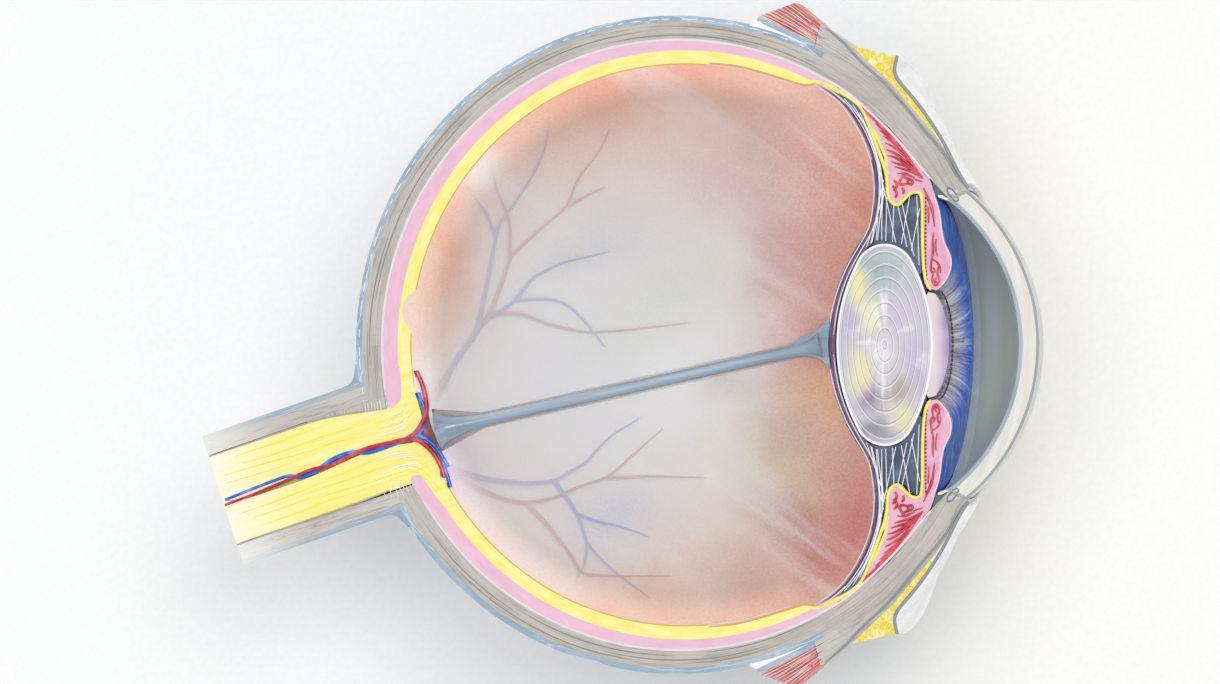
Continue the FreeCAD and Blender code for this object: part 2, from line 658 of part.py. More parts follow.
# ---------------------------------------------------------------- lens and iris

def lens_profile(share, trim):
    """An oval of three tangent arcs on the optic axis: its four points and the three arcs.
    The size is a share of the whole lens, less a trim all round."""
    half = f"(lens_half * {share} - {trim})"
    level = f"({share} * (lens_radius - lens_edge))"
    small = f"(lens_edge * {share} - {trim})"
    large = f"(({half} * {half} + {level} * {level} - {small} * {small}) / (2 * ({half} - {small})))"
    reach = f"{small} * ({large} - {half}) / ({large} - {small})"
    rise = f"{level} + {small} * {level} / ({large} - {small})"
    points = [(f"lens_x - {half}", "0"), (f"lens_x - {reach}", rise), (f"lens_x + {reach}", rise),
              (f"lens_x + {half}", "0")]
    return points, [large, small, large]


def make_lens():
    layers = [("lens_capsule", "1", "0"), ("lens_cortex", "1", "capsule_thickness"),
              ("lens_inner_cortex", "cortex_share", "0"), ("lens_nucleus", "nucleus_share", "0")]
    for (name, share, trim), inside in zip(layers, layers[1:] + [None]):
        points, arcs = lens_profile(share, trim)
        path = [*zip(points[:3], [(radius, -1) for radius in arcs]), (points[3], None)]
        if inside:
            points, arcs = lens_profile(*inside[1:])
            path += [*zip(points[:0:-1], [(radius, 1) for radius in arcs]), (points[0], None)]
        half_ring(name, path)


LENS_CURVE = lens_profile("1", "0")[1][0]
LENS_FRONT_AT_PUPIL = (f"(lens_x + lens_half - {LENS_CURVE}"
                       f" + sqrt({LENS_CURVE} * {LENS_CURVE} - pupil_radius * pupil_radius))")
ROOT_X, ROOT_RADIUS = CILIARY_FRONT[1]
CILIARY_EDGE = polar(CHOROID_OUTER, "ciliary_angle", "inner_shift")
IRIS_BACK = f"({LENS_FRONT_AT_PUPIL} + clearance + 0.1)"


def on_ciliary_front(share):
    """A point on the front face of the ciliary body, where the root of the iris is seated."""
    return tuple(f"({low}) + {share} * (({high}) - ({low}))" for low, high in zip(CILIARY_FRONT[1], CILIARY_EDGE))


def make_iris():
    """The stroma swells at the collarette, and the pigment layer lines its back."""
    middle_x = f"({IRIS_BACK} + {ROOT_X}) / 2 - 0.2"
    ring = f"(collarette_radius + {ROOT_RADIUS}) / 2 + 2"
    back = [(IRIS_BACK, "pupil_radius + 0.1"), (middle_x, "collarette_radius"), (f"{middle_x} - 0.2", ring)]
    front_of_pigment = [(f"{x} + pigment_thickness", y) for x, y in back]
    half_ring("iris_pigment_layer", [
        *[(corner, None) for corner in back],
        (on_ciliary_front("0"), None),
        (on_ciliary_front("0.2"), None),
        *[(corner, None) for corner in reversed(front_of_pigment)],
    ])
    half_ring("iris", [
        *[(corner, None) for corner in front_of_pigment],
        (on_ciliary_front("0.2"), None),
        (on_ciliary_front("0.45"), None),
        ((f"{ROOT_X} + 1.7", f"{ROOT_RADIUS} + 0.6"), None),
        ((f"{ROOT_X} + 2.9", f"{ROOT_RADIUS} - 3.1"), None),
        ((f"{middle_x} + iris_thickness", "collarette_radius"), None),
        ((f"{middle_x} + iris_thickness * 0.8", "pupil_radius + 1.2"), None),
        ((f"{IRIS_BACK} + iris_thickness * 0.45", "pupil_radius - 0.2"), None),
    ])


# ---------------------------------------------------------------- vitreous and hyaloid canal

FOSSA_APEX = "(lens_x - lens_half - fossa_gap)"
ORA_RIM = ("ora_x + clearance", height("retina_outer - 1.2", "ora_x + clearance", "retina_shift"))
FOSSA_RIM = (f"{FOSSA_APEX} + fossa_radius - sqrt(fossa_radius * fossa_radius - fossa_edge * fossa_edge)",
             "fossa_edge")
RIDGE = (f"{FOSSA_RIM[0]} + vitreous_rim_rise", "vitreous_rim_radius")
CANAL_FRONT = f"({FOSSA_APEX} - membrane_thickness - clearance - 0.7)"


def shifted_back(corner):
    return (f"{corner[0]} - membrane_thickness", corner[1])


def canal_profile(spare):
    """The outside of the canal: a long funnel, a straight tube and a short mouth. The spare
    is added all round."""
    tube = f"canal_bore + canal_wall + {spare}"
    start = f"-(disc_face - 3.4) - {spare}"
    finish = f"{CANAL_FRONT} + {spare}"
    return [(start, f"funnel_radius + {spare}"), (f"{start} + funnel_length", tube),
            (f"{finish} - mouth_length", tube), (finish, f"mouth_radius + {spare}")]


ALONG_CANAL = (Vector(0, 0, 1), "canal_angle")


def canal_turn(body, name, path, kind):
    """Turn an outline fully round the slanted axis of the canal."""
    sketch = new_sketch(body, name + "_outline", offset=ALONG_CANAL)
    sketch.setExpression("AttachmentOffset.Base.x", bound(f"{CANAL_FRONT} * (1 - cos(canal_angle))"))
    sketch.setExpression("AttachmentOffset.Base.y", bound(f"-{CANAL_FRONT} * sin(canal_angle)"))
    doc.recompute()
    draw(sketch, path)
    feature = body.newObject("PartDesign::" + kind, name)
    feature.Profile = sketch
    feature.ReferenceAxis = (sketch, ["H_Axis"])
    feature.Angle = 360
    doc.recompute()


def make_vitreous():
    inner_rim = (ORA_RIM[0], height(VITREOUS_RADIUS, "ora_x + clearance", "retina_shift"))
    ora_front = (f"{ORA_RIM[0]} + membrane_thickness", ORA_RIM[1])
    body = half_ring("vitreous_body", [
        ((f"retina_shift - {VITREOUS_RADIUS}", "0"), (VITREOUS_RADIUS, -1)),
        (inner_rim, None),
        (ORA_RIM, ("vitreous_bulge", -1)),
        (shifted_back(RIDGE), None),
        (shifted_back(FOSSA_RIM), ("fossa_radius", 1)),
        (shifted_back((FOSSA_APEX, "0")), None),
    ])
    outside = canal_profile("clearance")
    canal_turn(body, "canal_groove", [
        ((outside[0][0], "0"), None),
        *[(corner, None) for corner in outside],
        ((outside[-1][0], "0"), None),
    ], "Groove")
    half_ring("hyaloid_membrane", [
        (ora_front, ("vitreous_bulge", -1)),
        (RIDGE, None),
        (FOSSA_RIM, ("fossa_radius", 1)),
        ((FOSSA_APEX, "0"), None),
        (shifted_back((FOSSA_APEX, "0")), ("fossa_radius", -1)),
        (shifted_back(FOSSA_RIM), None),
        (shifted_back(RIDGE), ("vitreous_bulge", 1)),
        (ORA_RIM, None),
    ])


def make_hyaloid_canal():
    outside = canal_profile("0")
    inside = [(x, f"{radius} - canal_wall") for x, radius in outside]
    body = new_body("hyaloid_canal")
    canal_turn(body, "canal_tube", [
        *[(corner, None) for corner in outside],
        *[(corner, None) for corner in reversed(inside)],
    ], "Revolution")


# ---------------------------------------------------------------- optic nerve

def make_nerve():
    lengths = {
        "optic_disc": ("disc_face", "lamina_front"),
        "lamina_cribrosa": ("lamina_front", "lamina_front + lamina_thickness"),
        "optic_nerve_core": ("lamina_front + lamina_thickness", "nerve_end"),
    }
    for name, (start, end) in lengths.items():
        half_rod(name, box_path(start, end, "vessel_channel", "nerve_core"))


# ---------------------------------------------------------------- blood vessels

DROP_ANGLE = 13.5
STEP = 5.0
ROUTE_RADIUS = 49.6
# Routes in plan, along and across the optic axis, dropped onto the retina at the drop angle.
# They are drawn for a retina of the route radius, and grow or shrink with it.
VEINS = [
    [(-43.2, -11.5), (-38.8, -2.6), (-35.3, 1.8), (-33.2, 11.5), (-31.4, 21.2), (-30.4, 22.4),
     (-25.9, 28.9), (-23.5, 33.4), (-22.4, 37.1), (-22.2, 41.8)],
    [(-31.9, 19.0), (-32.8, 22.4), (-34.8, 25.2), (-37.2, 28.4)],
    [(-34.9, 3.4), (-28.2, 7.9), (-25.6, 11.8), (-20.3, 14.6), (-11.8, 16.6)],
    [(-28.2, 7.9), (-23.8, 8.3), (-19.4, 7.6), (-15.9, 4.1), (-12.4, -0.4)],
    [(-39.7, -21.9), (-34.8, -23.7), (-27.0, -24.7), (-21.5, -24.4), (-15.4, -20.8),
     (-12.7, -17.3), (-9.7, -15.2), (-6.2, -13.1)],
    [(-21.5, -24.4), (-19.2, -27.2), (-17.3, -30.2), (-15.5, -35.3), (-15.9, -38.8), (-18.7, -44.0)],
    [(-15.5, -35.3), (-13.8, -37.6), (-9.9, -40.9), (-4.6, -44.8)],
    [(-17.3, -30.2), (-13.8, -31.6), (-9.5, -32.3), (-4.8, -34.1)],
]
ARTERIES = [
    [(-43.2, -9.7), (-38.8, -3.0), (-32.7, 5.8), (-30.9, 10.6), (-29.1, 15.9), (-22.1, 22.2),
     (-18.9, 24.7), (-17.5, 29.3), (-12.9, 34.9), (-11.6, 38.3)],
    [(-18.9, 24.7), (-15.4, 26.8), (-12.4, 28.1)],
    [(-29.3, 15.5), (-29.3, 22.2), (-31.9, 28.2), (-32.5, 32.1)],
    [(-32.7, 5.3), (-28.2, 5.8), (-22.1, 3.5), (-15.9, 2.1), (-8.8, 2.6), (2.6, 3.9)],
    [(-39.7, -22.8), (-34.8, -25.6), (-29.7, -27.7), (-26.5, -28.2), (-21.9, -27.5),
     (-16.6, -25.1), (-12.0, -23.8), (-7.1, -19.4), (-2.1, -15.0)],
    [(-12.0, -23.8), (-4.4, -23.5), (5.3, -23.7)],
    [(-26.5, -28.2), (-22.9, -31.6), (-18.0, -37.9), (-16.6, -40.8), (-9.9, -41.1), (-0.5, -41.1)],
]


def on_retina(along, across):
    """Drop a plan point onto the sphere that the vessels lie on."""
    lean = math.radians(DROP_ANGLE)
    shift = value("retina_shift")
    shell = value(VESSEL_SHELL)
    growth = value("retina_inner") / ROUTE_RADIUS
    along, across = along * growth, across * growth
    half_b = shift * math.sin(lean)
    rest = along ** 2 + across ** 2 - 2 * shift * along * math.cos(lean) + shift ** 2 - shell ** 2
    drop = -half_b + math.sqrt(half_b ** 2 - rest)
    return Vector(along * math.cos(lean) - drop * math.sin(lean), across,
                  -along * math.sin(lean) - drop * math.cos(lean))


def retina_route(plan):
    """Plan points joined by short steps that keep to the retina."""
    route = [on_retina(*plan[0])]
    for (start_along, start_across), (along, across) in zip(plan, plan[1:]):
        span = (on_retina(along, across) - on_retina(start_along, start_across)).Length
        steps = max(1, round(span / STEP))
        for number in range(1, steps + 1):
            part = number / steps
            route.append(on_retina(start_along + (along - start_along) * part,
                                   start_across + (across - start_across) * part))
    return route


def tube(route, radius):
    """A round tube with mitred turns."""
    spine = Part.makePolygon(route)
    ring = Part.Wire(Part.makeCircle(radius, route[0], route[1] - route[0]))
    return spine.makePipeShell([ring], True, False, 1)


def clear_runs(route, others, gap):
    """The stretches of a route that keep this far from other vessels."""
    samples = 40
    runs = [[]]
    for start, end in zip(route, route[1:]):
        for number in range(samples):
            place = start + (end - start) * (number / samples)
            if others.distToShape(Part.Vertex(place))[0] > gap:
                if number == 0 or not runs[-1]:
                    runs[-1].append(place)
                last_clear = place
            elif runs[-1]:
                runs[-1].append(last_clear)
                runs.append([])
    runs[-1].append(route[-1])
    return [run for run in runs if len(run) > 1 and (run[-1] - run[0]).Length > 3 * gap]


def make_retinal_vessels():
    """The arteries run through. The veins stop on each side of a crossing."""
    radius = value("vessel_radius")
    arteries = [retina_route(plan) for plan in ARTERIES]
    shaped("retinal_arteries", Part.makeCompound([tube(route, radius) for route in arteries]))
    spines = Part.makeCompound([Part.makePolygon(route) for route in arteries])
    gap = value("2 * vessel_radius + crossing_gap")
    runs = [run for plan in VEINS for run in clear_runs(retina_route(plan), spines, gap)]
    shaped("retinal_veins", Part.makeCompound([tube(run, radius) for run in runs]))


def central_strand(vessel, phase):
    """One strand of the twisted pair in the nerve, with its two branches at the disc."""
    per_turn = 8
    turns = value("strand_turns")
    radius = value("strand_radius")
    swing = value("strand_radius + strand_gap")
    slant = math.radians(value("nerve_angle"))
    forward = Vector(-math.cos(slant), -math.sin(slant), 0)
    side = Vector(-math.sin(slant), math.cos(slant), 0)
    first = value("nerve_end - strand_inset")
    last = value("disc_face + strand_reach")
    count = round(turns * per_turn)
    route = []
    for number in range(count + 1):
        angle = 2 * math.pi * turns * number / count + phase
        route.append(forward * (first + (last - first) * number / count)
                     + side * swing * math.cos(angle) + Vector(0, 0, swing * math.sin(angle)))
    strand = tube(route, radius)
    centre = Vector(value("retina_shift"), 0, -value(f"{vessel}_branch_drop"))
    shell = value(f"{VESSEL_SHELL} - branch_lift")
    for turn in (value(f"{vessel}_branch_up"), -value(f"{vessel}_branch_down")):
        branch = [centre + (forward * math.cos(math.radians(turn * part))
                            + side * math.sin(math.radians(turn * part))) * shell
                  for part in (0, 0.25, 0.5, 0.75, 1)]
        strand = strand.fuse(tube([route[-1], *branch[1:]], radius * value("branch_share")))
    return strand.cut(nodes["optic_disc"].Shape.translated(Vector(0, 0, -value(CENTRE_HEIGHT))))


def make_central_vessels():
    artery = central_strand("artery", 0.0)
    shaped("central_artery", artery)
    shaped("central_vein", central_strand("vein", math.pi).cut(artery))


# ---------------------------------------------------------------- foot

SEAT_LEVEL = f"({CENTRE_HEIGHT} - sqrt({SKIN_OUTER} * {SKIN_OUTER} - %s * %s))"
BORE = "(boss_radius + boss_clearance)"
WEB_BOTTOM = f"({BOSS_BOTTOM} - web_thickness)"
RECESS = "(washer_radius + 0.3)"
SCREW_BORE = "(screw_radius + 0.25)"


def base_holes():
    step = 360 / value("base_hole_count")
    return [(f"base_hole_circle * cos({step * number})", f"base_hole_circle * sin({step * number})")
            for number in range(int(value("base_hole_count")))]


def make_foot():
    foot = new_body("foot", at_centre=False)
    turned(foot, "foot_turning", [
        ((RECESS, "mat_thickness"), None),
        (("foot_radius", "mat_thickness"), None),
        (("foot_radius", "mat_thickness + foot_edge"), None),
        (("seat_radius", SEAT_LEVEL % ("seat_radius", "seat_radius")), (SKIN_OUTER, -1)),
        ((BORE, SEAT_LEVEL % (BORE, BORE)), None),
        ((BORE, BOSS_BOTTOM), None),
        ((SCREW_BORE, BOSS_BOTTOM), None),
        ((SCREW_BORE, WEB_BOTTOM), None),
        ((RECESS, WEB_BOTTOM), None),
    ], sweep="360", role="XZ_Plane", axis="V_Axis")
    holes = disc(foot, "base_hole_circles", "base_hole_radius", "mat_thickness", base_holes())
    upright(foot, "base_holes", holes, "Pocket", "base_hole_depth")


def make_mat():
    mat = new_body("foot_mat", at_centre=False)
    upright(mat, "mat_disc", disc(mat, "mat_circle", "mat_radius", "0"), "Pad", "mat_thickness")
    holes = disc(mat, "mat_hole_circles", "base_hole_radius", "0", base_holes())
    upright(mat, "mat_holes", holes, "Pocket", "mat_thickness")


def make_screw():
    screw = new_body("foot_screw", at_centre=False)
    head_top = f"{WEB_BOTTOM} - washer_thickness"
    turned(screw, "screw_turning", [
        (("0", f"{head_top} - screw_head_height"), None),
        (("screw_head_radius", f"{head_top} - screw_head_height"), None),
        (("screw_head_radius", head_top), None),
        (("screw_radius", head_top), None),
        (("screw_radius", f"{BOSS_BOTTOM} + screw_grip"), None),
        (("0", f"{BOSS_BOTTOM} + screw_grip"), None),
    ], sweep="360", role="XZ_Plane", axis="V_Axis")
    washer = new_body("foot_washer", at_centre=False)
    turned(washer, "washer_turning", box_path(SCREW_BORE, "washer_radius", head_top, WEB_BOTTOM),
           sweep="360", role="XZ_Plane", axis="V_Axis")


make_sclera()
make_outer_skins()
make_schlemm_canal()
make_muscles()
make_fat_and_conjunctiva()
make_cornea()
make_choroid()
make_retina()
make_ciliary_body()
make_ciliary_processes()
make_zonule_fibres()
make_lens()
make_iris()
make_vitreous()
make_hyaloid_canal()
make_nerve()
make_retinal_vessels()
make_central_vessels()
make_foot()
make_mat()
make_screw()
doc.recompute()

for item in doc.Objects:
    if "Invalid" in item.State or "Error" in item.State:
        raise RuntimeError(f"{item.Label} failed: {item.State}")
for name, piece in nodes.items():
    if piece.Shape.isNull() or not piece.Shape.isValid():
        raise RuntimeError(f"{name} has no valid shape")

os.makedirs("parts", exist_ok=True)
for name, piece in nodes.items():
    piece.Shape.exportStep(f"parts/{name}.step")
    box = piece.Shape.BoundBox
    print(f"{name:22s} solids {len(piece.Shape.Solids):3d} volume {piece.Shape.Volume:10.2f} "
          f"x {box.XMin:7.2f} {box.XMax:7.2f} y {box.YMin:7.2f} {box.YMax:7.2f} z {box.ZMin:7.2f} {box.ZMax:7.2f}")
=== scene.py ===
import math

import bpy
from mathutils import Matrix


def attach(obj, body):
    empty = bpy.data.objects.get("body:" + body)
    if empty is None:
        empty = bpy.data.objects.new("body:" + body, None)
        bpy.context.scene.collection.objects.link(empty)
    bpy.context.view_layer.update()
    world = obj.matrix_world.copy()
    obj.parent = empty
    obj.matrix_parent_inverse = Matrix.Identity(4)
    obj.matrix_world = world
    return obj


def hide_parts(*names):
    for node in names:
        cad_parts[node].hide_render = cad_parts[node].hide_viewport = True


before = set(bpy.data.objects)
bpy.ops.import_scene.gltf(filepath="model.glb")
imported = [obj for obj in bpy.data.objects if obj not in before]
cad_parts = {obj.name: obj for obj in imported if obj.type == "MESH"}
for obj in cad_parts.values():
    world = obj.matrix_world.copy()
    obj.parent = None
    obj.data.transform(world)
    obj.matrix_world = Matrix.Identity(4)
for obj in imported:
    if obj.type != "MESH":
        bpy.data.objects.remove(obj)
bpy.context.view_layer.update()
scene = bpy.context.scene
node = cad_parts

MM = 0.001
# The centre of the globe in millimetres, and the height of the cut face in metres.
CENTRE = (0, 0, 68)
CUT = CENTRE[2] * MM
# The retina and the choroid are centred a little ahead of the globe.
RETINA_SHIFT = 1.5
RETINA_CENTRE = (RETINA_SHIFT, 0, 68)
CHOROID_SHIFT = 0.5
# The radius of the retina's inner face.
RETINA_INSIDE = 49.18
LENS_CENTRE = (37.9, 0, 68)
NERVE_SLANT = math.radians(18.5)
VIEW_TILT = math.radians(13.5)
# Faces that meet at less than this angle look smooth.
SMOOTH_BELOW = math.radians(40)
# A half ring stops just short of the cut face, in degrees.
HALF_TURN = 179.9
# Painted shade: the pale slate blue that the tissues round the lens get below the cut, standing for the shade
# of the spaces there.
DUSK = (196, 210, 232)
# How far the grain of a thin line is stretched: round the eye, outward and downward.
LINE_GRAIN = (30, 900, 60)
SEAM_GRAIN = (12, 900, 60)

scene.view_settings.view_transform = "Standard"


# ---------------------------------------------------------------- camera, floor and light

def set_stage():
    """A camera far above the cut face, two soft lamps, a white room and a paper floor."""
    sensor = 36.0
    lens = 600.0
    field = 0.2153
    aside = 11.5 * MM
    across = 0.5 * MM
    distance = field * lens / sensor
    side = (math.cos(VIEW_TILT), 0.0, -math.sin(VIEW_TILT))
    back = (math.sin(VIEW_TILT), 0.0, math.cos(VIEW_TILT))
    x, y, z = [start - aside * to_side + distance * to_back
               for start, to_side, to_back in zip((0.0, 0.0, CUT), side, back)]
    bpy.ops.object.camera_add(location=(x, y + across, z), rotation=(0, VIEW_TILT, 0))
    camera = bpy.context.object
    camera.name = "camera"
    camera.data.lens = lens
    camera.data.clip_start = 0.1
    camera.data.clip_end = 50.0
    scene.camera = camera

    for name, turn, energy in (("soft_lamp", (-12, 20, 0), 0.8), ("overhead_lamp", (-4, -1, 0), 0.42)):
        bpy.ops.object.light_add(type="SUN", rotation=[math.radians(part) for part in turn])
        lamp = bpy.context.object
        lamp.name = name
        lamp.data.energy = energy
        lamp.data.angle = math.radians(22)

    # The room looks pure white to the camera, and lights the part a little less.
    world = bpy.data.worlds.new("white_room")
    world.use_nodes = True
    scene.world = world
    tree = world.node_tree
    room = tree.nodes["Background"]
    room.inputs["Color"].default_value = (1, 1, 1, 1)
    rays = tree.nodes.new("ShaderNodeLightPath")
    seen = tree.nodes.new("ShaderNodeMath")
    seen.operation = "MAXIMUM"
    tree.links.new(rays.outputs["Is Camera Ray"], seen.inputs[0])
    tree.links.new(rays.outputs["Is Transmission Ray"], seen.inputs[1])
    level = tree.nodes.new("ShaderNodeMapRange")
    level.inputs["To Min"].default_value = 0.66
    level.inputs["To Max"].default_value = 1.0
    tree.links.new(seen.outputs[0], level.inputs["Value"])
    tree.links.new(level.outputs["Result"], room.inputs["Strength"])

    bpy.ops.mesh.primitive_plane_add(size=8.0, location=(0, 0, -0.0002))
    floor = bpy.context.object
    floor.name = "floor"
    paper = Finish("floor_paper", roughness=0.9)
    grain = paper.noise(paper.place(), 900)
    paper.colour(paper.ramp(grain, [(0.3, (250, 250, 250)), (0.7, (254, 254, 254))]))
    paper.give(floor)


# ---------------------------------------------------------------- finishes

def tint(red, green, blue):
    """A colour written as 0 to 255, as the renderer wants it."""
    def linear(part):
        part /= 255
        return part / 12.92 if part <= 0.04045 else ((part + 0.055) / 1.055) ** 2.4
    return (linear(red), linear(green), linear(blue), 1.0)


def shades(colour, step):
    """A darker neighbour of a colour, the colour and a lighter neighbour."""
    return [tuple(min(255, max(0, part + change)) for part in colour) for change in (-step, 0, step)]


class Finish:
    """A material, built up node by node."""

    def __init__(self, name, roughness=0.5, coat=0.0):
        self.material = bpy.data.materials.new(name)
        self.material.use_nodes = True
        self.tree = self.material.node_tree
        self.shader = self.tree.nodes["Principled BSDF"]
        self.shader.inputs["Roughness"].default_value = roughness
        self.shader.inputs["Coat Weight"].default_value = coat

    def add(self, kind, inputs=(), **settings):
        """A new node with its settings, and each input linked or set."""
        made = self.tree.nodes.new("ShaderNode" + kind)
        for name, setting in settings.items():
            setattr(made, name, setting)
        for name, given in inputs:
            if isinstance(given, bpy.types.NodeSocket):
                self.tree.links.new(given, made.inputs[name])
            else:
                made.inputs[name].default_value = given
        return made

    def maths(self, operation, first, second=0.0):
        return self.add("Math", [(0, first), (1, second)], operation=operation).outputs[0]

    def times(self, first, second):
        return self.maths("MULTIPLY", first, second)

    def vector(self, operation, first, second):
        return self.add("VectorMath", [(0, first), (1, second)], operation=operation).outputs[0]

    def length(self, vector):
        return self.add("VectorMath", [(0, vector)], operation="LENGTH").outputs["Value"]

    def swung(self, vector, turn):
        """Turned back about Z by this angle."""
        made = self.add("VectorRotate", [("Vector", vector), ("Angle", -turn)], rotation_type="Z_AXIS")
        return made.outputs[0]

    def parts(self, vector):
        return list(self.add("SeparateXYZ", [(0, vector)]).outputs)

    def joined(self, x, y, z):
        return self.add("CombineXYZ", [(0, x), (1, y), (2, z)]).outputs[0]

    def place(self, scale=(1, 1, 1), turn=0.0, centre=(0, 0, 0)):
        """Object coordinates, moved to a centre in millimetres, turned about Z and stretched."""
        where = self.add("TexCoord").outputs["Object"]
        moved = self.vector("SUBTRACT", where, tuple(part * MM for part in centre))
        return self.vector("MULTIPLY", self.swung(moved, turn), scale)

    def around(self, scale, centre=CENTRE):
        """Angle round the centre in plan, distance from it and height above it, stretched."""
        where = self.place(centre=centre)
        x, y, z = self.parts(where)
        amounts = (self.maths("ARCTAN2", y, x), self.length(where), z)
        return self.joined(*[self.times(amount, factor) for amount, factor in zip(amounts, scale)])

    def noise(self, vector, scale=1.0, detail=3.0, rough=0.5, warp=0.0, output="Fac"):
        made = self.add("TexNoise", [("Vector", vector), ("Scale", scale), ("Detail", detail),
                                     ("Roughness", rough), ("Distortion", warp)])
        return made.outputs[output]

    def cells(self, vector, scale, feature="F1"):
        made = self.add("TexVoronoi", [("Vector", vector), ("Scale", scale)], feature=feature)
        return made.outputs["Distance"]

    def level(self, amount, low, high, to_low=0.0, to_high=1.0):
        """Stretch a range to another, held at its ends."""
        inputs = [("Value", amount), ("From Min", low), ("From Max", high),
                  ("To Min", to_low), ("To Max", to_high)]
        return self.add("MapRange", inputs, interpolation_type="SMOOTHSTEP").outputs["Result"]

    def thin_line(self, amount, width, strength, middle=0.5):
        """Strong where the amount passes the middle, and nothing a width away from it."""
        off = self.maths("ABSOLUTE", self.maths("SUBTRACT", amount, middle))
        return self.level(off, 0.0, width, strength, 0.0)

    def ramp(self, amount, stops):
        made = self.add("ValToRGB", [("Fac", amount)])
        band = made.color_ramp
        while len(band.elements) < len(stops):
            band.elements.new(0.5)
        for element, (at, colour) in zip(band.elements, stops):
            element.position = at
            element.color = tint(*colour)
        return made.outputs["Color"]

    def tones(self, amount, dark, middle, light):
        """Three tones spread over the middle of a noise."""
        return self.ramp(amount, [(0.3, dark), (0.5, middle), (0.7, light)])

    def mix(self, amount, under, over, how="MIX"):
        """Lay one colour over another. Each is a socket, or three parts of 0 to 255."""
        under, over = [tint(*given) if isinstance(given, tuple) else given for given in (under, over)]
        return self.add("Mix", [(0, amount), (6, under), (7, over)],
                        data_type="RGBA", blend_type=how, clamp_factor=True).outputs[2]

    def veil(self, base, colour, amount, low, high, strength=1.0):
        """Lay a colour over the base, stronger as the amount goes from low to high."""
        return self.mix(self.level(amount, low, high, 0.0, strength), base, colour)

    def colour(self, socket):
        self.tree.links.new(socket, self.shader.inputs["Base Color"])

    def bump(self, height, depth, strength=0.6):
        made = self.add("Bump", [("Height", height), ("Distance", depth), ("Strength", strength)])
        self.tree.links.new(made.outputs[0], self.shader.inputs["Normal"])

    def at_cut(self):
        """1 on the cut face and 0 below it."""
        height = self.parts(self.place())[2]
        return self.maths("GREATER_THAN", height, CUT - 0.05 * MM)

    def give(self, *pieces):
        for piece in pieces:
            if not piece.data.materials:
                piece.data.materials.append(self.material)
            for slot in piece.material_slots:
                slot.material = self.material

    def dress(self, *names):
        """Give the finish to nodes of the CAD part."""
        self.give(*[node[name] for name in names])


def layered(name, colour, step, stretch=LINE_GRAIN, roughness=0.45, line=None):
    """Tissue with grain that runs round the eye. The line is a colour for its fibres."""
    finish = Finish(name, roughness=roughness, coat=0.1)
    tones = shades(colour, step)
    soft = finish.noise(finish.around(stretch), detail=4, rough=0.6, warp=0.3)
    base = finish.tones(soft, *tones)
    if line:
        finer = (stretch[0] * 0.6, stretch[1] * 1.2, stretch[2])
        fibre = finish.noise(finish.around(finer), detail=2, rough=0.4, warp=0.2)
        thin = finish.thin_line(fibre, 0.035, 0.75)
        base = finish.mix(finish.times(thin, finish.at_cut()), base, line)
        cloud = finish.noise(finish.place(), 130, detail=5, rough=0.65, warp=0.6)
        base = finish.veil(base, line, cloud, 0.4, 0.7, 0.35)
    speck = finish.noise(finish.place(), 2600, detail=2)
    finish.colour(finish.veil(base, tones[2], speck, 0.35, 0.7, 0.12))
    finish.bump(soft, 0.1 * MM)
    return finish


def tissue(name, at_cut, below, stretch=(14, 700, 500)):
    """Tissue of one colour on the cut face and another below it."""
    finish = Finish(name, roughness=0.42, coat=0.12)
    soft = finish.noise(finish.around(stretch), detail=4, rough=0.6, warp=0.4)
    under = finish.tones(soft, *shades(below, 14))
    face = finish.tones(soft, *shades(at_cut, 9))
    finish.colour(finish.mix(finish.at_cut(), under, face))
    finish.bump(soft, 0.12 * MM)
    return finish


def vessel_finish(name, colour, shine):
    """A glaze for vessels and strands, with a brighter shine in places."""
    finish = Finish(name, roughness=0.3, coat=0.4)
    soft = finish.noise(finish.place(), 420)
    base = finish.tones(soft, *shades(colour, 22))
    finish.colour(finish.veil(base, shine, soft, 0.45, 0.75, 0.6))
    finish.bump(soft, 0.05 * MM)
    return finish


def washed(finish, first, washes, scale, wander):
    """Soft washes of colour whose edges wander, laid one over another in plan."""
    drift = finish.noise(finish.place(), scale, detail=4, output="Color")
    shift = finish.vector("SUBTRACT", drift, (0.5, 0.5, 0.5))
    wandered = finish.vector("MULTIPLY", shift, (wander * MM, wander * MM, 0.0))
    where = finish.vector("ADD", finish.place((1, 1, 0)), wandered)
    base = finish.mix(1.0, first, first)
    for x, y, length, width, turn, colour, strength in washes:
        moved = finish.vector("SUBTRACT", where, (x * MM, y * MM, 0))
        swung = finish.swung(moved, math.radians(turn))
        reach = finish.length(finish.vector("MULTIPLY", swung, (1000 / length, 1000 / width, 0)))
        base = finish.mix(finish.level(reach, 0.0, 1.0, strength, 0.0), base, colour)
    return base


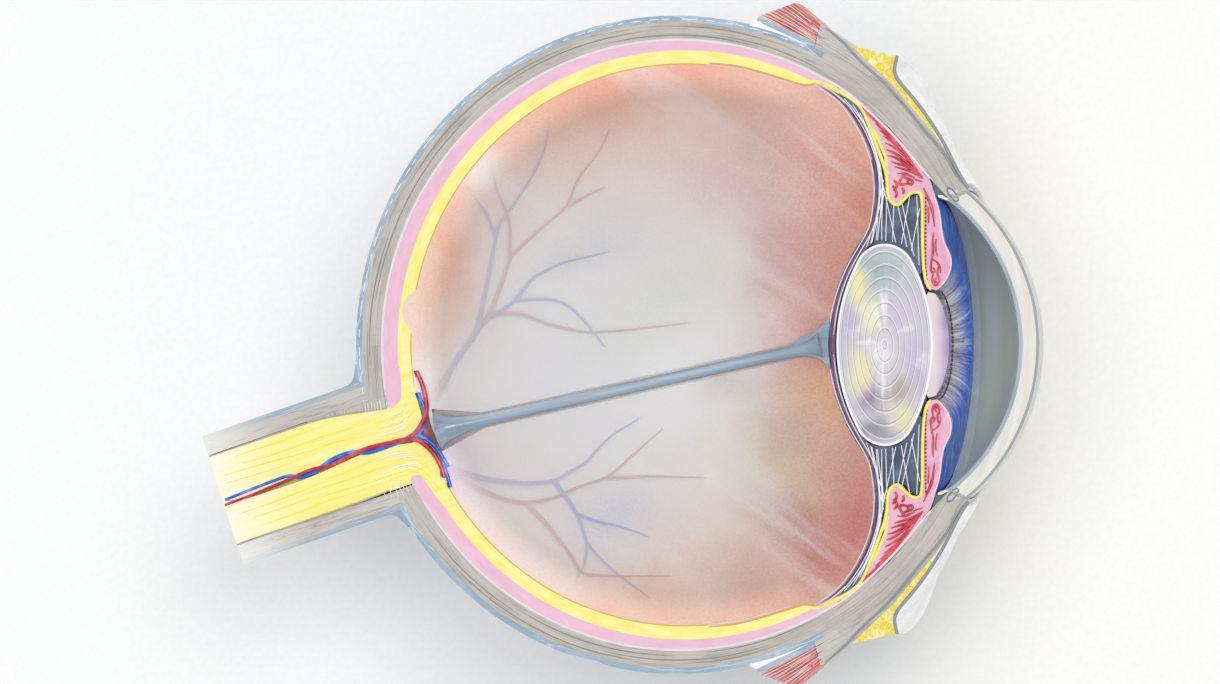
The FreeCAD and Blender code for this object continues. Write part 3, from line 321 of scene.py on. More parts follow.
# Soft washes of colour over the vitreous, in plan: x, y, how far it reaches along and across,
# turn, colour, strength.
WASHES = [
    (-10, -4, 84, 76, 0, (250, 248, 246), 1.0),
    (-16, -4, 50, 44, 20, (244, 248, 255), 0.9),
    (35, 22, 16, 26, 12, (214, 122, 92), 0.95),
    (35, 4, 30, 22, 0, (212, 122, 94), 0.9),
    (31, -4, 20, 62, 0, (190, 128, 112), 0.7),
    (26, -8, 14, 10, 0, (226, 172, 124), 0.75),
    (10, -8, 9, 6, 0, (196, 174, 150), 0.5),
    (24, -32, 15, 13, -20, (172, 108, 104), 0.9),
    (33, -28, 16, 24, -20, (192, 108, 104), 0.95),
    (22, 14, 12, 18, 12, (214, 158, 160), 0.8),
    (20, -20, 14, 12, 0, (190, 158, 134), 0.65),
    (20, 34, 22, 12, -32, (214, 152, 150), 0.75),
    (-8, 46, 44, 15, 6, (242, 164, 138), 0.9),
    (10, 26, 18, 9, -22, (224, 186, 190), 0.6),
    (-43, 15, 9, 26, -22, (240, 172, 138), 0.85),
    (-42, 3, 7, 10, 0, (242, 200, 180), 0.6),
    (-40, -22, 8, 14, 30, (228, 206, 232), 0.7),
    (-14, -32, 16, 10, 18, (208, 214, 240), 0.8),
    (0, -48, 40, 8, 3, (240, 188, 160), 0.8),
    (14, -42, 18, 9, -10, (212, 152, 136), 0.75),
    (-4, 8, 22, 10, 35, (224, 234, 222), 0.7),
    (-14, 16, 16, 8, 30, (212, 218, 234), 0.6),
    (10, -20, 20, 8, -12, (242, 226, 188), 0.75),
    (28, 46, 14, 5, -38, (206, 160, 176), 0.6),
    # The last wash is painted shade: a dark brown band over the front of the vitreous.
    (29, 0, 17, 90, 0, (150, 96, 84), 0.4),
]
# The same for the cut face of the lens.
LENS_WASHES = [
    (38, 0, 12, 20, 0, (204, 200, 208), 0.9),
    (37, 13, 8, 5, 0, (156, 176, 180), 0.95),
    (42, 11, 4, 6, -20, (190, 194, 200), 0.8),
    (33, 10, 3, 6, 20, (240, 232, 160), 0.95),
    (32, 4, 3, 5, 5, (188, 172, 212), 0.9),
    (41, 6, 4, 5, -10, (204, 188, 222), 0.9),
    (36, 5, 3, 4, 0, (248, 240, 190), 0.8),
    (37, -1, 5, 4, 0, (228, 222, 232), 0.9),
    (33, -5, 3, 6, 10, (238, 228, 170), 0.9),
    (36, -9, 4, 5, 30, (146, 124, 158), 0.95),
    (41, -8, 4, 5, -30, (176, 156, 134), 0.85),
    (44, -4, 3, 7, 10, (194, 180, 214), 0.9),
    (41, -13, 4, 4, 30, (228, 222, 170), 0.9),
    (36, -15, 5, 3, 0, (136, 132, 148), 0.9),
]


def vitreous_tints(finish):
    """The milky washes of the vitreous, and of the retina seen through it."""
    base = washed(finish, (242, 184, 160), WASHES, 45.0, 20.0)
    wisps = finish.noise(finish.place((14, 60, 0), math.radians(-38)), detail=4, warp=0.8)
    base = finish.veil(base, (250, 250, 252), wisps, 0.5, 0.7, 0.6)
    grain = finish.noise(finish.place(), 2400, detail=2)
    return finish.mix(finish.level(grain, 0.3, 0.7, 0.0, 0.35), base, (255, 244, 234), "SOFT_LIGHT")


# ---------------------------------------------------------------- finishes of the CAD nodes

def dress_wall():
    """The sclera with its skins, the choroid, the canal ring and the tendons."""
    layered("sclera_fibre", (195, 189, 181), 10, (3.5, 1500, 60), line=(150, 142, 138)).dress("sclera_bowl")
    layered("skin_blue", (148, 170, 190), 14, (8, 500, 60), line=(206, 220, 232)).dress(
        "episcleral_skin", "lateral_fascia", "medial_fascia")
    layered("choroid_pink", (236, 188, 211), 7, (10, 600, 60)).dress("choroid")
    tissue("canal_ring", (208, 206, 200), (150, 164, 180)).dress("schlemm_canal")
    tissue("conjunctiva_pale", (240, 240, 238), (243, 243, 241), (20, 900, 60)).dress("conjunctiva")
    layered("tendon_grey", (198, 194, 188), 10, (4, 1500, 60), line=(142, 136, 132)).dress(
        "lateral_tendon", "medial_tendon")


def dress_fat():
    """Yellow lobules with pale seams between them."""
    finish = Finish("fat_lobules", roughness=0.35, coat=0.3)
    where = finish.place()
    edge = finish.cells(where, 820, "DISTANCE_TO_EDGE")
    lobe = finish.cells(where, 820)
    yellow = finish.ramp(lobe, [(0.0, (255, 240, 110)), (0.4, (252, 226, 60)), (0.8, (244, 206, 40))])
    finish.colour(finish.veil((250, 240, 168), yellow, edge, 0.02, 0.13))
    finish.bump(edge, 0.9 * MM, 0.8)
    finish.dress("orbital_fat")


def dress_muscles():
    """Red and pale fibres along each muscle, paler towards its cut end."""
    for name, turn in (("lateral_rectus", -34), ("medial_rectus", 34)):
        finish = Finish(name + "_fibre", roughness=0.45, coat=0.1)
        fibre = finish.noise(finish.place((120, 2600, 1200), math.radians(turn)), warp=0.3)
        base = finish.ramp(fibre, [(0.3, (168, 62, 62)), (0.45, (200, 98, 94)), (0.58, (220, 146, 138)),
                                   (0.72, (242, 220, 212))])
        ahead = finish.parts(finish.place())[0]
        finish.colour(finish.veil(base, (246, 232, 224), ahead, 0.021, 0.014, 0.6))
        finish.bump(fibre, 0.3 * MM)
        finish.dress(name)


def faded_end(finish, base):
    """The colours of the nerve, paler towards its cut end."""
    back = finish.parts(finish.place(turn=NERVE_SLANT, centre=CENTRE))[0]
    return finish.veil(base, (252, 250, 242), back, -0.07, -0.09, 0.75)


def dress_nerve():
    """Fibres that run along the nerve, its sheath and its head."""
    for name, colour, line in (("nerve_sheath", (196, 190, 182), (146, 138, 134)),
                               ("nerve_sheath_skin", (156, 174, 188), (200, 212, 222)),
                               ("optic_nerve_core", (250, 240, 132), (238, 214, 90)),
                               ("lamina_cribrosa", (250, 243, 170), (255, 255, 250)),
                               ("optic_disc", (251, 241, 135), (255, 252, 220))):
        finish = Finish(name + "_fibre", roughness=0.45, coat=0.1)
        fibre = finish.noise(finish.place((60, 1500, 900), NERVE_SLANT), warp=0.2)
        base = finish.tones(fibre, *shades(colour, 8))
        finish.colour(faded_end(finish, finish.mix(finish.thin_line(fibre, 0.03, 0.7), base, line)))
        finish.bump(fibre, 0.1 * MM)
        finish.dress(name)


def dress_retina():
    """Yellow where it is cut. Its wall has the tints of the vitreous in front of it, mixed half with white as
    painted light against the shade of the deep bowl.
    """
    finish = Finish("retina_yellow", roughness=0.4, coat=0.15)
    streak = finish.noise(finish.around((12, 700, 60), RETINA_CENTRE), warp=0.2)
    edge = finish.tones(streak, (246, 232, 120), (250, 240, 142), (252, 246, 170))
    # Painted light: half white lifts the wall out of the bowl's shade.
    wall = finish.mix(0.5, vitreous_tints(finish), (250, 252, 248))
    finish.colour(finish.mix(finish.at_cut(), wall, edge))
    finish.bump(streak, 0.08 * MM)
    finish.dress("retina")


def dress_vitreous():
    """Clear jelly, milkier at its rim and front, in a purple skin with painted light on its back and painted
    shade on its front below the cut.
    """
    jelly = Finish("vitreous_jelly", roughness=0.35)
    jelly.colour(vitreous_tints(jelly))
    out = jelly.length(jelly.place((1, 1, 0), centre=RETINA_CENTRE))
    rim = jelly.level(out, 0.0435, 0.0486, 0.46, 0.88)
    front = jelly.level(jelly.parts(jelly.place())[0], 0.012, 0.03, 0.46, 0.92)
    share = jelly.level(jelly.at_cut(), 0.0, 1.0, 0.14, 1.0)
    thick = jelly.times(jelly.maths("MAXIMUM", rim, front), share)
    jelly.tree.links.new(thick, jelly.shader.inputs["Alpha"])
    jelly.dress("vitreous_body")

    skin = Finish("membrane_purple", roughness=0.4, coat=0.1)
    edge = skin.tones(skin.noise(skin.around((8, 900, 60))), (72, 48, 78), (92, 68, 98), (122, 98, 128))
    ahead = skin.parts(skin.add("NewGeometry").outputs["Normal"])[0]
    # Painted light: below the cut, the skin's back has the vitreous tints mixed with white, like the retina's
    # wall.
    back = skin.mix(0.3, vitreous_tints(skin), (255, 250, 248))
    # Painted shade: the side facing the lens takes the slate blue of DUSK.
    skin.colour(skin.mix(skin.at_cut(), skin.veil(back, DUSK, ahead, -0.05, 0.05), edge))
    skin.dress("hyaloid_membrane")


def dress_uvea():
    """The layers and folds of the ciliary body, and the back of the iris."""
    tissue("ciliary_pink", (231, 184, 206), DUSK).dress("ciliary_body")
    tissue("ciliary_yellow", (246, 232, 128), DUSK).dress("ciliary_epithelium")
    tissue("fold_pink", (232, 180, 200), (176, 188, 210)).dress("ciliary_processes")
    tissue("iris_dark", (150, 52, 62), (170, 164, 196)).dress("iris_pigment_layer")


def dress_iris():
    """Pink where it is cut, and blue with radial fibres on its face."""
    finish = Finish("iris_blue", roughness=0.4, coat=0.25)
    y, z = finish.parts(finish.place(centre=CENTRE))[1:]
    angle = finish.maths("ARCTAN2", y, z)
    out = finish.maths("SQRT", finish.maths("ADD", finish.times(y, y), finish.times(z, z)))
    rays = finish.joined(finish.times(angle, 13.0), finish.times(out, 120.0), 0.0)
    fibre = finish.noise(rays, detail=4, rough=0.65, warp=0.9)
    blue = finish.ramp(fibre, [(0.3, (8, 48, 214)), (0.44, (28, 104, 255)), (0.58, (70, 150, 255)),
                               (0.72, (196, 222, 255))])
    pale = finish.ramp(fibre, [(0.32, (150, 124, 118)), (0.46, (188, 186, 204)), (0.6, (246, 248, 254))])
    face = finish.veil(pale, blue, out, 0.0095, 0.0138)
    squiggle = finish.noise(finish.joined(finish.times(angle, 9.0), finish.times(out, 330.0), 5.0),
                            detail=2, warp=1.2)
    face = finish.mix(finish.thin_line(squiggle, 0.016, 0.75), face, (126, 40, 66))
    grain = finish.noise(finish.around((20, 600, 500)))
    pink = finish.tones(grain, (224, 158, 190), (232, 176, 204), (240, 196, 218))
    finish.colour(finish.mix(finish.at_cut(), face, pink))
    finish.bump(fibre, 0.5 * MM, 0.5)
    finish.dress("iris")
    return finish


def dress_lens():
    """Pearly rings and painted white streaks of sheen on the cut face, and a painted violet sheen on the
    front of the capsule.
    """
    length, width = 8.7, 17.8
    for name in ("lens_capsule", "lens_cortex", "lens_inner_cortex", "lens_nucleus"):
        finish = Finish(name + "_pearl", roughness=0.28, coat=0.5)
        patches = washed(finish, (196, 194, 204), LENS_WASHES, 160.0, 7.0)
        sized = finish.place((1 / length / MM, 1 / width / MM, 0), centre=LENS_CENTRE)
        reach = finish.length(sized)
        x, y = finish.parts(sized)[:2]
        sweep = finish.maths("ARCTAN2", y, x)
        rays = finish.noise(finish.joined(finish.times(sweep, 2.2), finish.times(reach, 1.4), 3.0), warp=0.4)
        # Painted sheen: white streaks fanning out over the cut face.
        base = finish.veil(patches, (250, 250, 252), rays, 0.54, 0.74, 0.7)
        wobble = finish.noise(finish.place(), 90, detail=1)
        count = finish.maths("ADD", finish.times(reach, 8.0), finish.times(wobble, 0.5))
        rings = finish.maths("FRACT", count)
        base = finish.mix(finish.thin_line(rings, 0.06, 0.72), base, (112, 110, 120))
        base = finish.mix(finish.thin_line(rings, 0.1, 0.5, 0.64), base, (250, 250, 252))
        violet = finish.tones(rays, (206, 184, 222), (230, 218, 238), (250, 246, 252))
        at_cut = (246, 246, 250) if name == "lens_capsule" else base
        finish.colour(finish.mix(finish.at_cut(), violet, at_cut))
        finish.bump(rays, 0.1 * MM)
        finish.dress(name)


def dress_cornea():
    """Ivory between two grey rims. The lining's wall is pale yellow with streaks of painted sheen, and
    painted shade darkens it to grey-green near the cut.
    """
    tissue("cornea_ivory", (227, 224, 216), (238, 240, 232), (6, 900, 60)).dress("cornea_stroma")
    tissue("cornea_rim", (158, 160, 164), (206, 208, 206), (6, 900, 60)).dress("cornea_epithelium")
    lining = Finish("cornea_lining", roughness=0.3, coat=0.4)
    # Painted sheen: light streaks in the wall's colour.
    sheen = lining.noise(lining.place((260, 26, 26)), detail=2, warp=0.5)
    wall = lining.tones(sheen, (246, 246, 194), (252, 252, 204), (255, 255, 224))
    height = lining.parts(lining.place(centre=CENTRE))[2]
    # Painted shade: grey-green towards the rim at the cut.
    wall = lining.veil(wall, (150, 162, 146), height, -0.0045, -0.001, 0.6)
    rim = lining.ramp(sheen, [(0.3, (140, 156, 172)), (0.7, (172, 186, 198))])
    lining.colour(lining.mix(lining.at_cut(), wall, rim))
    lining.dress("cornea_endothelium")


def dress_foot():
    """A cream foot on dark rubber, with a steel screw and washer."""
    layered("foot_cream", (214, 212, 206), 5, (60, 300, 300), roughness=0.55).dress("foot")
    layered("rubber_dark", (58, 60, 62), 6, (90, 300, 300), roughness=0.85).dress("foot_mat")
    for name in ("foot_screw", "foot_washer"):
        steel = Finish(name + "_steel", roughness=0.32)
        steel.shader.inputs["Metallic"].default_value = 1.0
        marks = steel.noise(steel.around((2, 4000, 9000), (0, 0, 5)), detail=2)
        steel.colour(steel.ramp(marks, [(0.3, (170, 172, 176)), (0.7, (205, 207, 210))]))
        steel.dress(name)


# ---------------------------------------------------------------- how new pieces are shaped

def on_cut(along, across, rise=0.0):
    """A place at this rise that the slanting view shows at this spot in plan."""
    return ((along + rise * math.sin(VIEW_TILT)) / math.cos(VIEW_TILT), across, rise)


def on_retina(along, across):
    """Drop a plan place onto the inner face of the retina."""
    half_b = RETINA_SHIFT * math.sin(VIEW_TILT)
    rest = (along ** 2 + across ** 2 - 2 * RETINA_SHIFT * along * math.cos(VIEW_TILT)
            + RETINA_SHIFT ** 2 - RETINA_INSIDE ** 2)
    drop = -half_b + math.sqrt(max(0.0, half_b ** 2 - rest))
    return (along * math.cos(VIEW_TILT) - drop * math.sin(VIEW_TILT), across,
            -along * math.sin(VIEW_TILT) - drop * math.cos(VIEW_TILT))


def tapered(places, first, last):
    """Give each place along a run its share of the thickness."""
    steps = max(1, len(places) - 1)
    return [(*place, first + (last - first) * number / steps) for number, place in enumerate(places)]


def mirrored(plans):
    """A set of places on the cut face and the same below the optic axis."""
    return plans + [[(along, -out) for along, out in plan] for plan in plans]


def arc(radius, start, end):
    """Places along an arc about the middle of the globe, in plan."""
    degrees_a_step = 5
    steps = max(2, round(abs(end - start) / degrees_a_step))
    turns = [math.radians(start + (end - start) * number / steps) for number in range(steps + 1)]
    return [(radius * math.cos(turn), radius * math.sin(turn)) for turn in turns]


def rounded(outline):
    """Cut the corners of a closed outline twice, so that it runs smoothly."""
    for _ in range(2):
        smoother = []
        for place, ahead in zip(outline, outline[1:] + outline[:1]):
            for share in (0.25, 0.75):
                smoother.append(tuple(part + (other - part) * share for part, other in zip(place, ahead)))
        outline = smoother
    return outline


def hand_over(piece, name, finish, body, stands_for=()):
    """Name a finished piece and say what it moves with."""
    piece.name = name
    piece.data.name = name
    finish.give(piece)
    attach(piece, body)
    if stands_for:
        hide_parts(*stands_for)


def threads(name, runs, thickness, finish, body, stands_for=(), smooth=4, sides=1):
    """Round strands along smooth lines. Each place is x, y and z from the globe centre in
    millimetres, and a share of the thickness."""
    bpy.ops.object.select_all(action="DESELECT")
    bpy.ops.curve.primitive_nurbs_path_add(location=(0, 0, 0))
    curve = bpy.context.object.data
    curve.splines.clear()
    for run in runs:
        line = curve.splines.new("NURBS")
        line.points.add(len(run) - 1)
        for point, (x, y, z, share) in zip(line.points, run):
            point.co = (x * MM, y * MM, z * MM + CUT, 1)
            point.radius = share
        line.order_u = min(3, len(run))
        line.use_endpoint_u = True
        line.resolution_u = smooth
    curve.bevel_depth = thickness * MM
    curve.bevel_resolution = sides
    curve.use_fill_caps = True
    bpy.ops.object.convert(target="MESH")
    bpy.ops.object.shade_smooth()
    hand_over(bpy.context.object, name, finish, body, stands_for)


def inked(name, plans, thickness, finish, body, rise, ends, smooth=5):
    """Raised strands that follow lines on the cut face and thin to this share at their ends."""
    runs = []
    for plan in plans:
        shares = [ends] + [1.0] * (len(plan) - 2) + [ends]
        runs.append([(along, out, rise, share) for (along, out), share in zip(plan, shares)])
    threads(name, runs, thickness, finish, body, smooth=smooth, sides=2)


def outline_piece(outline, fill):
    """A new piece with this closed outline, in millimetres from the globe centre, open for edits."""
    bpy.ops.object.select_all(action="DESELECT")
    bpy.ops.mesh.primitive_circle_add(vertices=len(outline), radius=MM, fill_type=fill)
    piece = bpy.context.object
    for corner, (x, y, z) in zip(piece.data.vertices, outline):
        corner.co = (x * MM, y * MM, z * MM + CUT)
    bpy.ops.object.mode_set(mode="EDIT")
    bpy.ops.mesh.select_all(action="SELECT")
    return piece


def closed_piece(piece):
    """Turn the faces of a new piece outward and shade it."""
    bpy.ops.mesh.normals_make_consistent(inside=False)
    bpy.ops.object.mode_set(mode="OBJECT")
    bpy.ops.object.shade_smooth_by_angle(angle=SMOOTH_BELOW)
    return piece


def turned(outline, angle, axis, steps, centre=(0, 0, 0)):
    """Spin a closed outline, given in millimetres from the globe centre."""
    piece = outline_piece(outline, "NOTHING" if angle == 360 else "NGON")
    pivot = [part * MM for part in centre]
    pivot[2] += CUT
    bpy.ops.mesh.spin(steps=steps, angle=math.radians(angle), center=pivot, axis=axis)
    bpy.ops.mesh.select_all(action="SELECT")
    bpy.ops.mesh.remove_doubles(threshold=0.00001)
    bpy.ops.mesh.delete_loose()
    return closed_piece(piece)


def half_ring(curve, drop, steps, centre=(0, 0, 0)):
    """Turn a curve half way round the optic axis, this far under the cut face."""
    return turned([(along, out, -drop) for along, out in curve], HALF_TURN, (1, 0, 0), steps, centre)


def plate(name, outline, top, depth, finish, body):
    """A thin flat patch let into the cut face. Its outline is in millimetres."""
    piece = outline_piece([(along, out, top) for along, out in rounded(outline)], "NGON")
    bpy.ops.mesh.extrude_region_move(TRANSFORM_OT_translate={"value": (0, 0, -depth * MM)})
    bpy.ops.mesh.select_all(action="SELECT")
    hand_over(closed_piece(piece), name, finish, body)


def both_sides(name, outline, top, depth, finish, body):
    """The same patch above and below the optic axis."""
    for number, plan in zip((2, 0), mirrored([outline])):
        plate(f"{name}_{number}", plan, top, depth, finish, body)


def strip(name, radii, shift, sweep, depth, finish, body):
    """A thin trim laid in a seam of the cut face, from one angle to another."""
    inner, outer = radii
    start, end = sweep
    top = 0.02
    first = math.radians(start)
    cos, sin = math.cos(first), math.sin(first)
    corners = [(inner, top), (outer, top), (outer, top - depth), (inner, top - depth)]
    outline = [(shift + radius * cos, radius * sin, level) for radius, level in corners]
    degrees_a_step = 2.5
    steps = max(8, round(abs(end - start) / degrees_a_step))
    piece = turned(outline, end - start, (0, 0, -1), steps, (shift, 0, 0))
    hand_over(piece, name, finish, body)


# ---------------------------------------------------------------- blood vessels of the retina

# Routes in plan, along and across the optic axis, with the share of the thickness at each end.
VEINS = [
    ([(-43.2, -11.5), (-38.8, -2.6), (-35.3, 1.8), (-33.2, 11.5), (-31.4, 21.2), (-30.4, 22.4), (-25.9, 28.9),
      (-23.5, 33.4), (-22.4, 37.1), (-22.2, 41.8)], 1.25, 0.3),
    ([(-31.9, 19.0), (-32.8, 22.4), (-34.8, 25.2), (-37.2, 28.4)], 0.7, 0.3),
    ([(-34.9, 3.4), (-28.2, 7.9), (-25.6, 11.8), (-20.3, 14.6), (-11.8, 16.6)], 0.9, 0.25),
    ([(-28.2, 7.9), (-23.8, 8.3), (-19.4, 7.6), (-15.9, 4.1), (-12.4, -0.4)], 0.7, 0.25),
    ([(-39.7, -21.9), (-34.8, -23.7), (-27.0, -24.7), (-21.5, -24.4), (-15.4, -20.8), (-12.7, -17.3),
      (-9.7, -15.2), (-6.2, -13.1)], 1.2, 0.25),
    ([(-21.5, -24.4), (-19.2, -27.2), (-17.3, -30.2), (-15.5, -35.3), (-15.9, -38.8), (-18.7, -44.0)],
      0.95, 0.25),
    ([(-15.5, -35.3), (-13.8, -37.6), (-9.9, -40.9), (-4.6, -44.8)], 0.6, 0.25),
    ([(-17.3, -30.2), (-13.8, -31.6), (-9.5, -32.3), (-4.8, -34.1)], 0.7, 0.25),
]
ARTERIES = [
    ([(-43.2, -9.7), (-38.8, -3.0), (-32.7, 5.8), (-30.9, 10.6), (-29.1, 15.9), (-22.1, 22.2), (-18.9, 24.7),
      (-17.5, 29.3), (-12.9, 34.9), (-11.6, 38.3)], 1.1, 0.25),
    ([(-18.9, 24.7), (-15.4, 26.8), (-12.4, 28.1)], 0.7, 0.3),
    ([(-29.3, 15.5), (-29.3, 22.2), (-31.9, 28.2), (-32.5, 32.1)], 0.8, 0.25),
    ([(-32.7, 5.3), (-28.2, 5.8), (-22.1, 3.5), (-15.9, 2.1), (-8.8, 2.6), (2.6, 3.9)], 0.9, 0.2),
    ([(-39.7, -22.8), (-34.8, -25.6), (-29.7, -27.7), (-26.5, -28.2), (-21.9, -27.5), (-16.6, -25.1),
      (-12.0, -23.8), (-7.1, -19.4), (-2.1, -15.0)], 1.1, 0.25),
    ([(-12.0, -23.8), (-4.4, -23.5), (5.3, -23.7)], 0.75, 0.2),
    ([(-26.5, -28.2), (-22.9, -31.6), (-18.0, -37.9), (-16.6, -40.8), (-9.9, -41.1), (-0.5, -41.1)],
      0.9, 0.2),
]
CENTRAL_ARTERY = [
    [(-79.8, -28.4), (-74.6, -26.5), (-71.4, -25.1), (-69.1, -24.2), (-67.5, -23.4), (-64.6, -22.1),
     (-62.3, -21.7), (-60.3, -21.1), (-57.9, -19.8), (-56.0, -18.9), (-53.8, -18.1), (-50.8, -17.5),
     (-48.5, -16.9), (-46.7, -16.6)],
    [(-46.9, -16.7), (-45.6, -15.3), (-44.5, -13.5), (-43.9, -11.5), (-44.1, -9.3), (-44.8, -6.6),
     (-45.8, -4.7)],
    [(-46.9, -16.6), (-45.6, -16.7), (-44.4, -17.5), (-42.8, -19.0), (-41.7, -20.8), (-41.1, -22.2),
     (-40.8, -23.4)],
]
CENTRAL_VEIN = [
    [(-79.7, -27.5), (-73.8, -25.1), (-70.6, -23.9), (-68.3, -23.1), (-66.7, -23.5), (-64.8, -23.1),
     (-62.8, -21.8), (-61.6, -20.9), (-61.1, -20.5), (-58.7, -19.4), (-56.4, -18.9), (-54.5, -19.2),
     (-51.6, -18.2), (-49.3, -17.3), (-46.9, -16.5), (-45.5, -16.0)],
    [(-45.5, -16.0), (-44.5, -14.6), (-44.1, -12.9), (-44.3, -11.2), (-44.8, -10.1), (-45.5, -8.5)],
    [(-45.5, -16.0), (-44.1, -16.5), (-42.5, -17.8), (-41.2, -19.7), (-40.1, -21.6)],
    [(-40.9, -21.6), (-40.4, -22.8), (-40.0, -23.9), (-39.7, -25.3)],
]
# The cut ends of the vessels, darkened with the painted shade of their hollows.
ARTERY_ENDS = [[(-45.9, -4.6), (-45.6, -5.6)], [(-41.1, -23.3), (-41.3, -22.4)]]
VEIN_ENDS = [[(-45.7, -8.5), (-45.5, -9.4)], [(-39.9, -25.2), (-40.2, -24.4)]]


def retina_run(plan, first, last):
    """A route in short steps that keep to the retina, thinning towards its end."""
    longest = 3.5
    places = [plan[0]]
    for start, end in zip(plan, plan[1:]):
        steps = max(1, round(math.dist(start, end) / longest))
        for number in range(1, steps + 1):
            places.append([start[i] + (end[i] - start[i]) * number / steps for i in (0, 1)])
    return tapered([on_retina(*place) for place in places], first, last)


def nerve_run(plans, rise, fork_rise, first, last, fork_last):
    """A vessel in the nerve, thickening towards its fork, and the branches of the fork."""
    runs = [tapered([on_cut(*place, rise) for place in plans[0]], first, last)]
    for plan in plans[1:]:
        runs.append(tapered([on_cut(*place, fork_rise) for place in plan], 1.0, fork_last))
    return runs


def make_vessels(slot, stands_for, routes, nerve_runs, ends, rise, glaze, tree_glaze, hollow_shade_glaze):
    """The tree on the retina, the vessel in the nerve with its fork, and the painted shade in the hollows of
    its ends.
    """
    tree_node, centre_node = stands_for
    glaze = vessel_finish(f"{slot}_glaze", *glaze)
    tree_glaze = vessel_finish(f"{slot}_tree_glaze", *tree_glaze)
    hollow_shade_glaze = vessel_finish(f"{slot}_hollow", *hollow_shade_glaze)
    tree = [retina_run(*route) for route in routes]
    threads(f"retinal_{slot}_tree", tree, 0.48, tree_glaze, "uvea_insert", [tree_node], sides=3)
    threads(f"central_{slot}_fork", nerve_runs, 0.46, glaze, "uvea_insert", [centre_node], 6, 4)
    hollows = []
    # Dark strands paint the shade inside the hollow ends.
    for run in ends:
        hollows.append([(*on_cut(*place)[:2], rise, share) for place, share in zip(run, (1.0, 0.6))])
    threads(f"{slot}_hollows", hollows, 0.27, hollow_shade_glaze, "uvea_insert", sides=2)


def make_arteries():
    """The red vessels."""
    in_nerve = nerve_run(CENTRAL_ARTERY, 0.25, 0.25, 0.5, 1.0, 0.95)
    make_vessels("artery", ("retinal_arteries", "central_artery"), ARTERIES, in_nerve, ARTERY_ENDS, 0.56,
                 ((184, 36, 60), (222, 110, 128)),
                 ((176, 0, 36), (206, 56, 92)),
                 ((110, 20, 40), (150, 50, 70)))


def make_veins():
    """The blue vessels."""
    in_nerve = nerve_run(CENTRAL_VEIN, -0.05, -0.15, 0.6, 1.15, 0.9)
    make_vessels("vein", ("retinal_veins", "central_vein"), VEINS, in_nerve, VEIN_ENDS, 0.3,
                 ((44, 102, 218), (130, 176, 246)),
                 ((0, 66, 206), (44, 124, 244)),
                 ((16, 50, 150), (40, 80, 180)))


# ---------------------------------------------------------------- the nerve and its head

WHITE_FIBRES = [
    [(-52.9, -16.2), (-50.8, -15.7), (-48.5, -15.1), (-47.1, -14.3)],
    [(-51.8, -15.3), (-49.7, -14.8), (-48.0, -13.8), (-47.3, -13.0)],
    [(-52.3, -14.5), (-50.4, -14.0), (-48.5, -13.2), (-47.4, -12.5)],
    [(-51.6, -13.0), (-49.7, -12.4), (-48.3, -11.6), (-47.5, -10.8)],
    [(-53.8, -20.8), (-50.8, -19.5), (-48.5, -19.0), (-45.7, -18.9)],
    [(-50.7, -20.4), (-48.5, -19.9), (-46.4, -19.7), (-45.0, -20.1)],
    [(-51.9, -22.8), (-49.7, -21.7), (-47.5, -21.1), (-46.0, -20.9), (-44.4, -21.4)],
    [(-48.8, -22.3), (-47.2, -21.8), (-46.0, -21.8), (-45.2, -22.1)],
]
LAMINA_STRANDS = [
    [(-54.9, -10.1), (-54.7, -12.9)], [(-54.4, -10.4), (-54.2, -12.9)], [(-53.8, -10.1), (-53.5, -13.0)],
    [(-53.2, -10.4), (-52.9, -13.1)], [(-52.7, -10.1), (-52.5, -12.7)], [(-52.3, -9.9), (-51.8, -13.0)],
    [(-51.1, -10.1), (-50.7, -12.7)], [(-50.4, -10.8), (-50.2, -11.9)], [(-52.3, -24.7), (-51.0, -27.2)],
    [(-50.8, -23.8), (-50.1, -27.2)], [(-50.1, -23.8), (-48.8, -27.2)], [(-49.6, -23.6), (-47.8, -27.2)],
    [(-48.9, -23.6), (-47.9, -25.5)], [(-48.5, -23.3), (-47.1, -26.0)], [(-47.7, -23.4), (-46.7, -25.2)],
]
GOLD_FIBRES = [
    [(-62.7, -16.2), (-59.5, -15.4), (-56.8, -14.5)], [(-62.7, -17.9), (-59.5, -17.1), (-56.5, -16.3)],
    [(-53.2, -13.8), (-50.4, -13.4), (-48.5, -12.1), (-47.5, -10.5)],
    [(-52.4, -14.8), (-50.1, -14.4), (-48.0, -13.5), (-46.9, -12.4), (-46.0, -11.5)],
    [(-61.2, -23.6), (-57.1, -22.2), (-53.2, -20.3), (-50.1, -19.4)],
    [(-62.7, -25.3), (-58.7, -24.2), (-54.8, -22.7), (-51.2, -21.5)],
    [(-62.7, -26.9), (-57.9, -25.5), (-53.2, -24.1), (-49.3, -22.7), (-46.7, -22.2), (-45.3, -22.7),
     (-43.7, -23.9), (-42.2, -26.3)],
    [(-48.8, -20.5), (-46.6, -20.2), (-44.8, -20.8), (-42.8, -22.6)],
    [(-47.8, -21.4), (-45.8, -21.4), (-43.7, -22.8), (-41.4, -26.0)],
    [(-78.0, -19.8), (-73.8, -18.3), (-69.8, -17.1), (-63.9, -14.9)],
    [(-76.6, -21.0), (-71.4, -19.6), (-66.7, -17.7), (-60.9, -15.7)],
    [(-79.8, -23.1), (-74.6, -21.5), (-68.3, -19.8), (-60.9, -17.7)],
    [(-79.8, -24.6), (-74.6, -23.1), (-67.8, -20.9)],
    [(-77.3, -30.0), (-71.4, -28.0), (-66.7, -26.1), (-62.3, -24.3)],
    [(-74.7, -30.6), (-69.8, -29.1), (-64.8, -27.1)], [(-73.0, -31.9), (-68.3, -30.3), (-63.1, -28.4)],
]
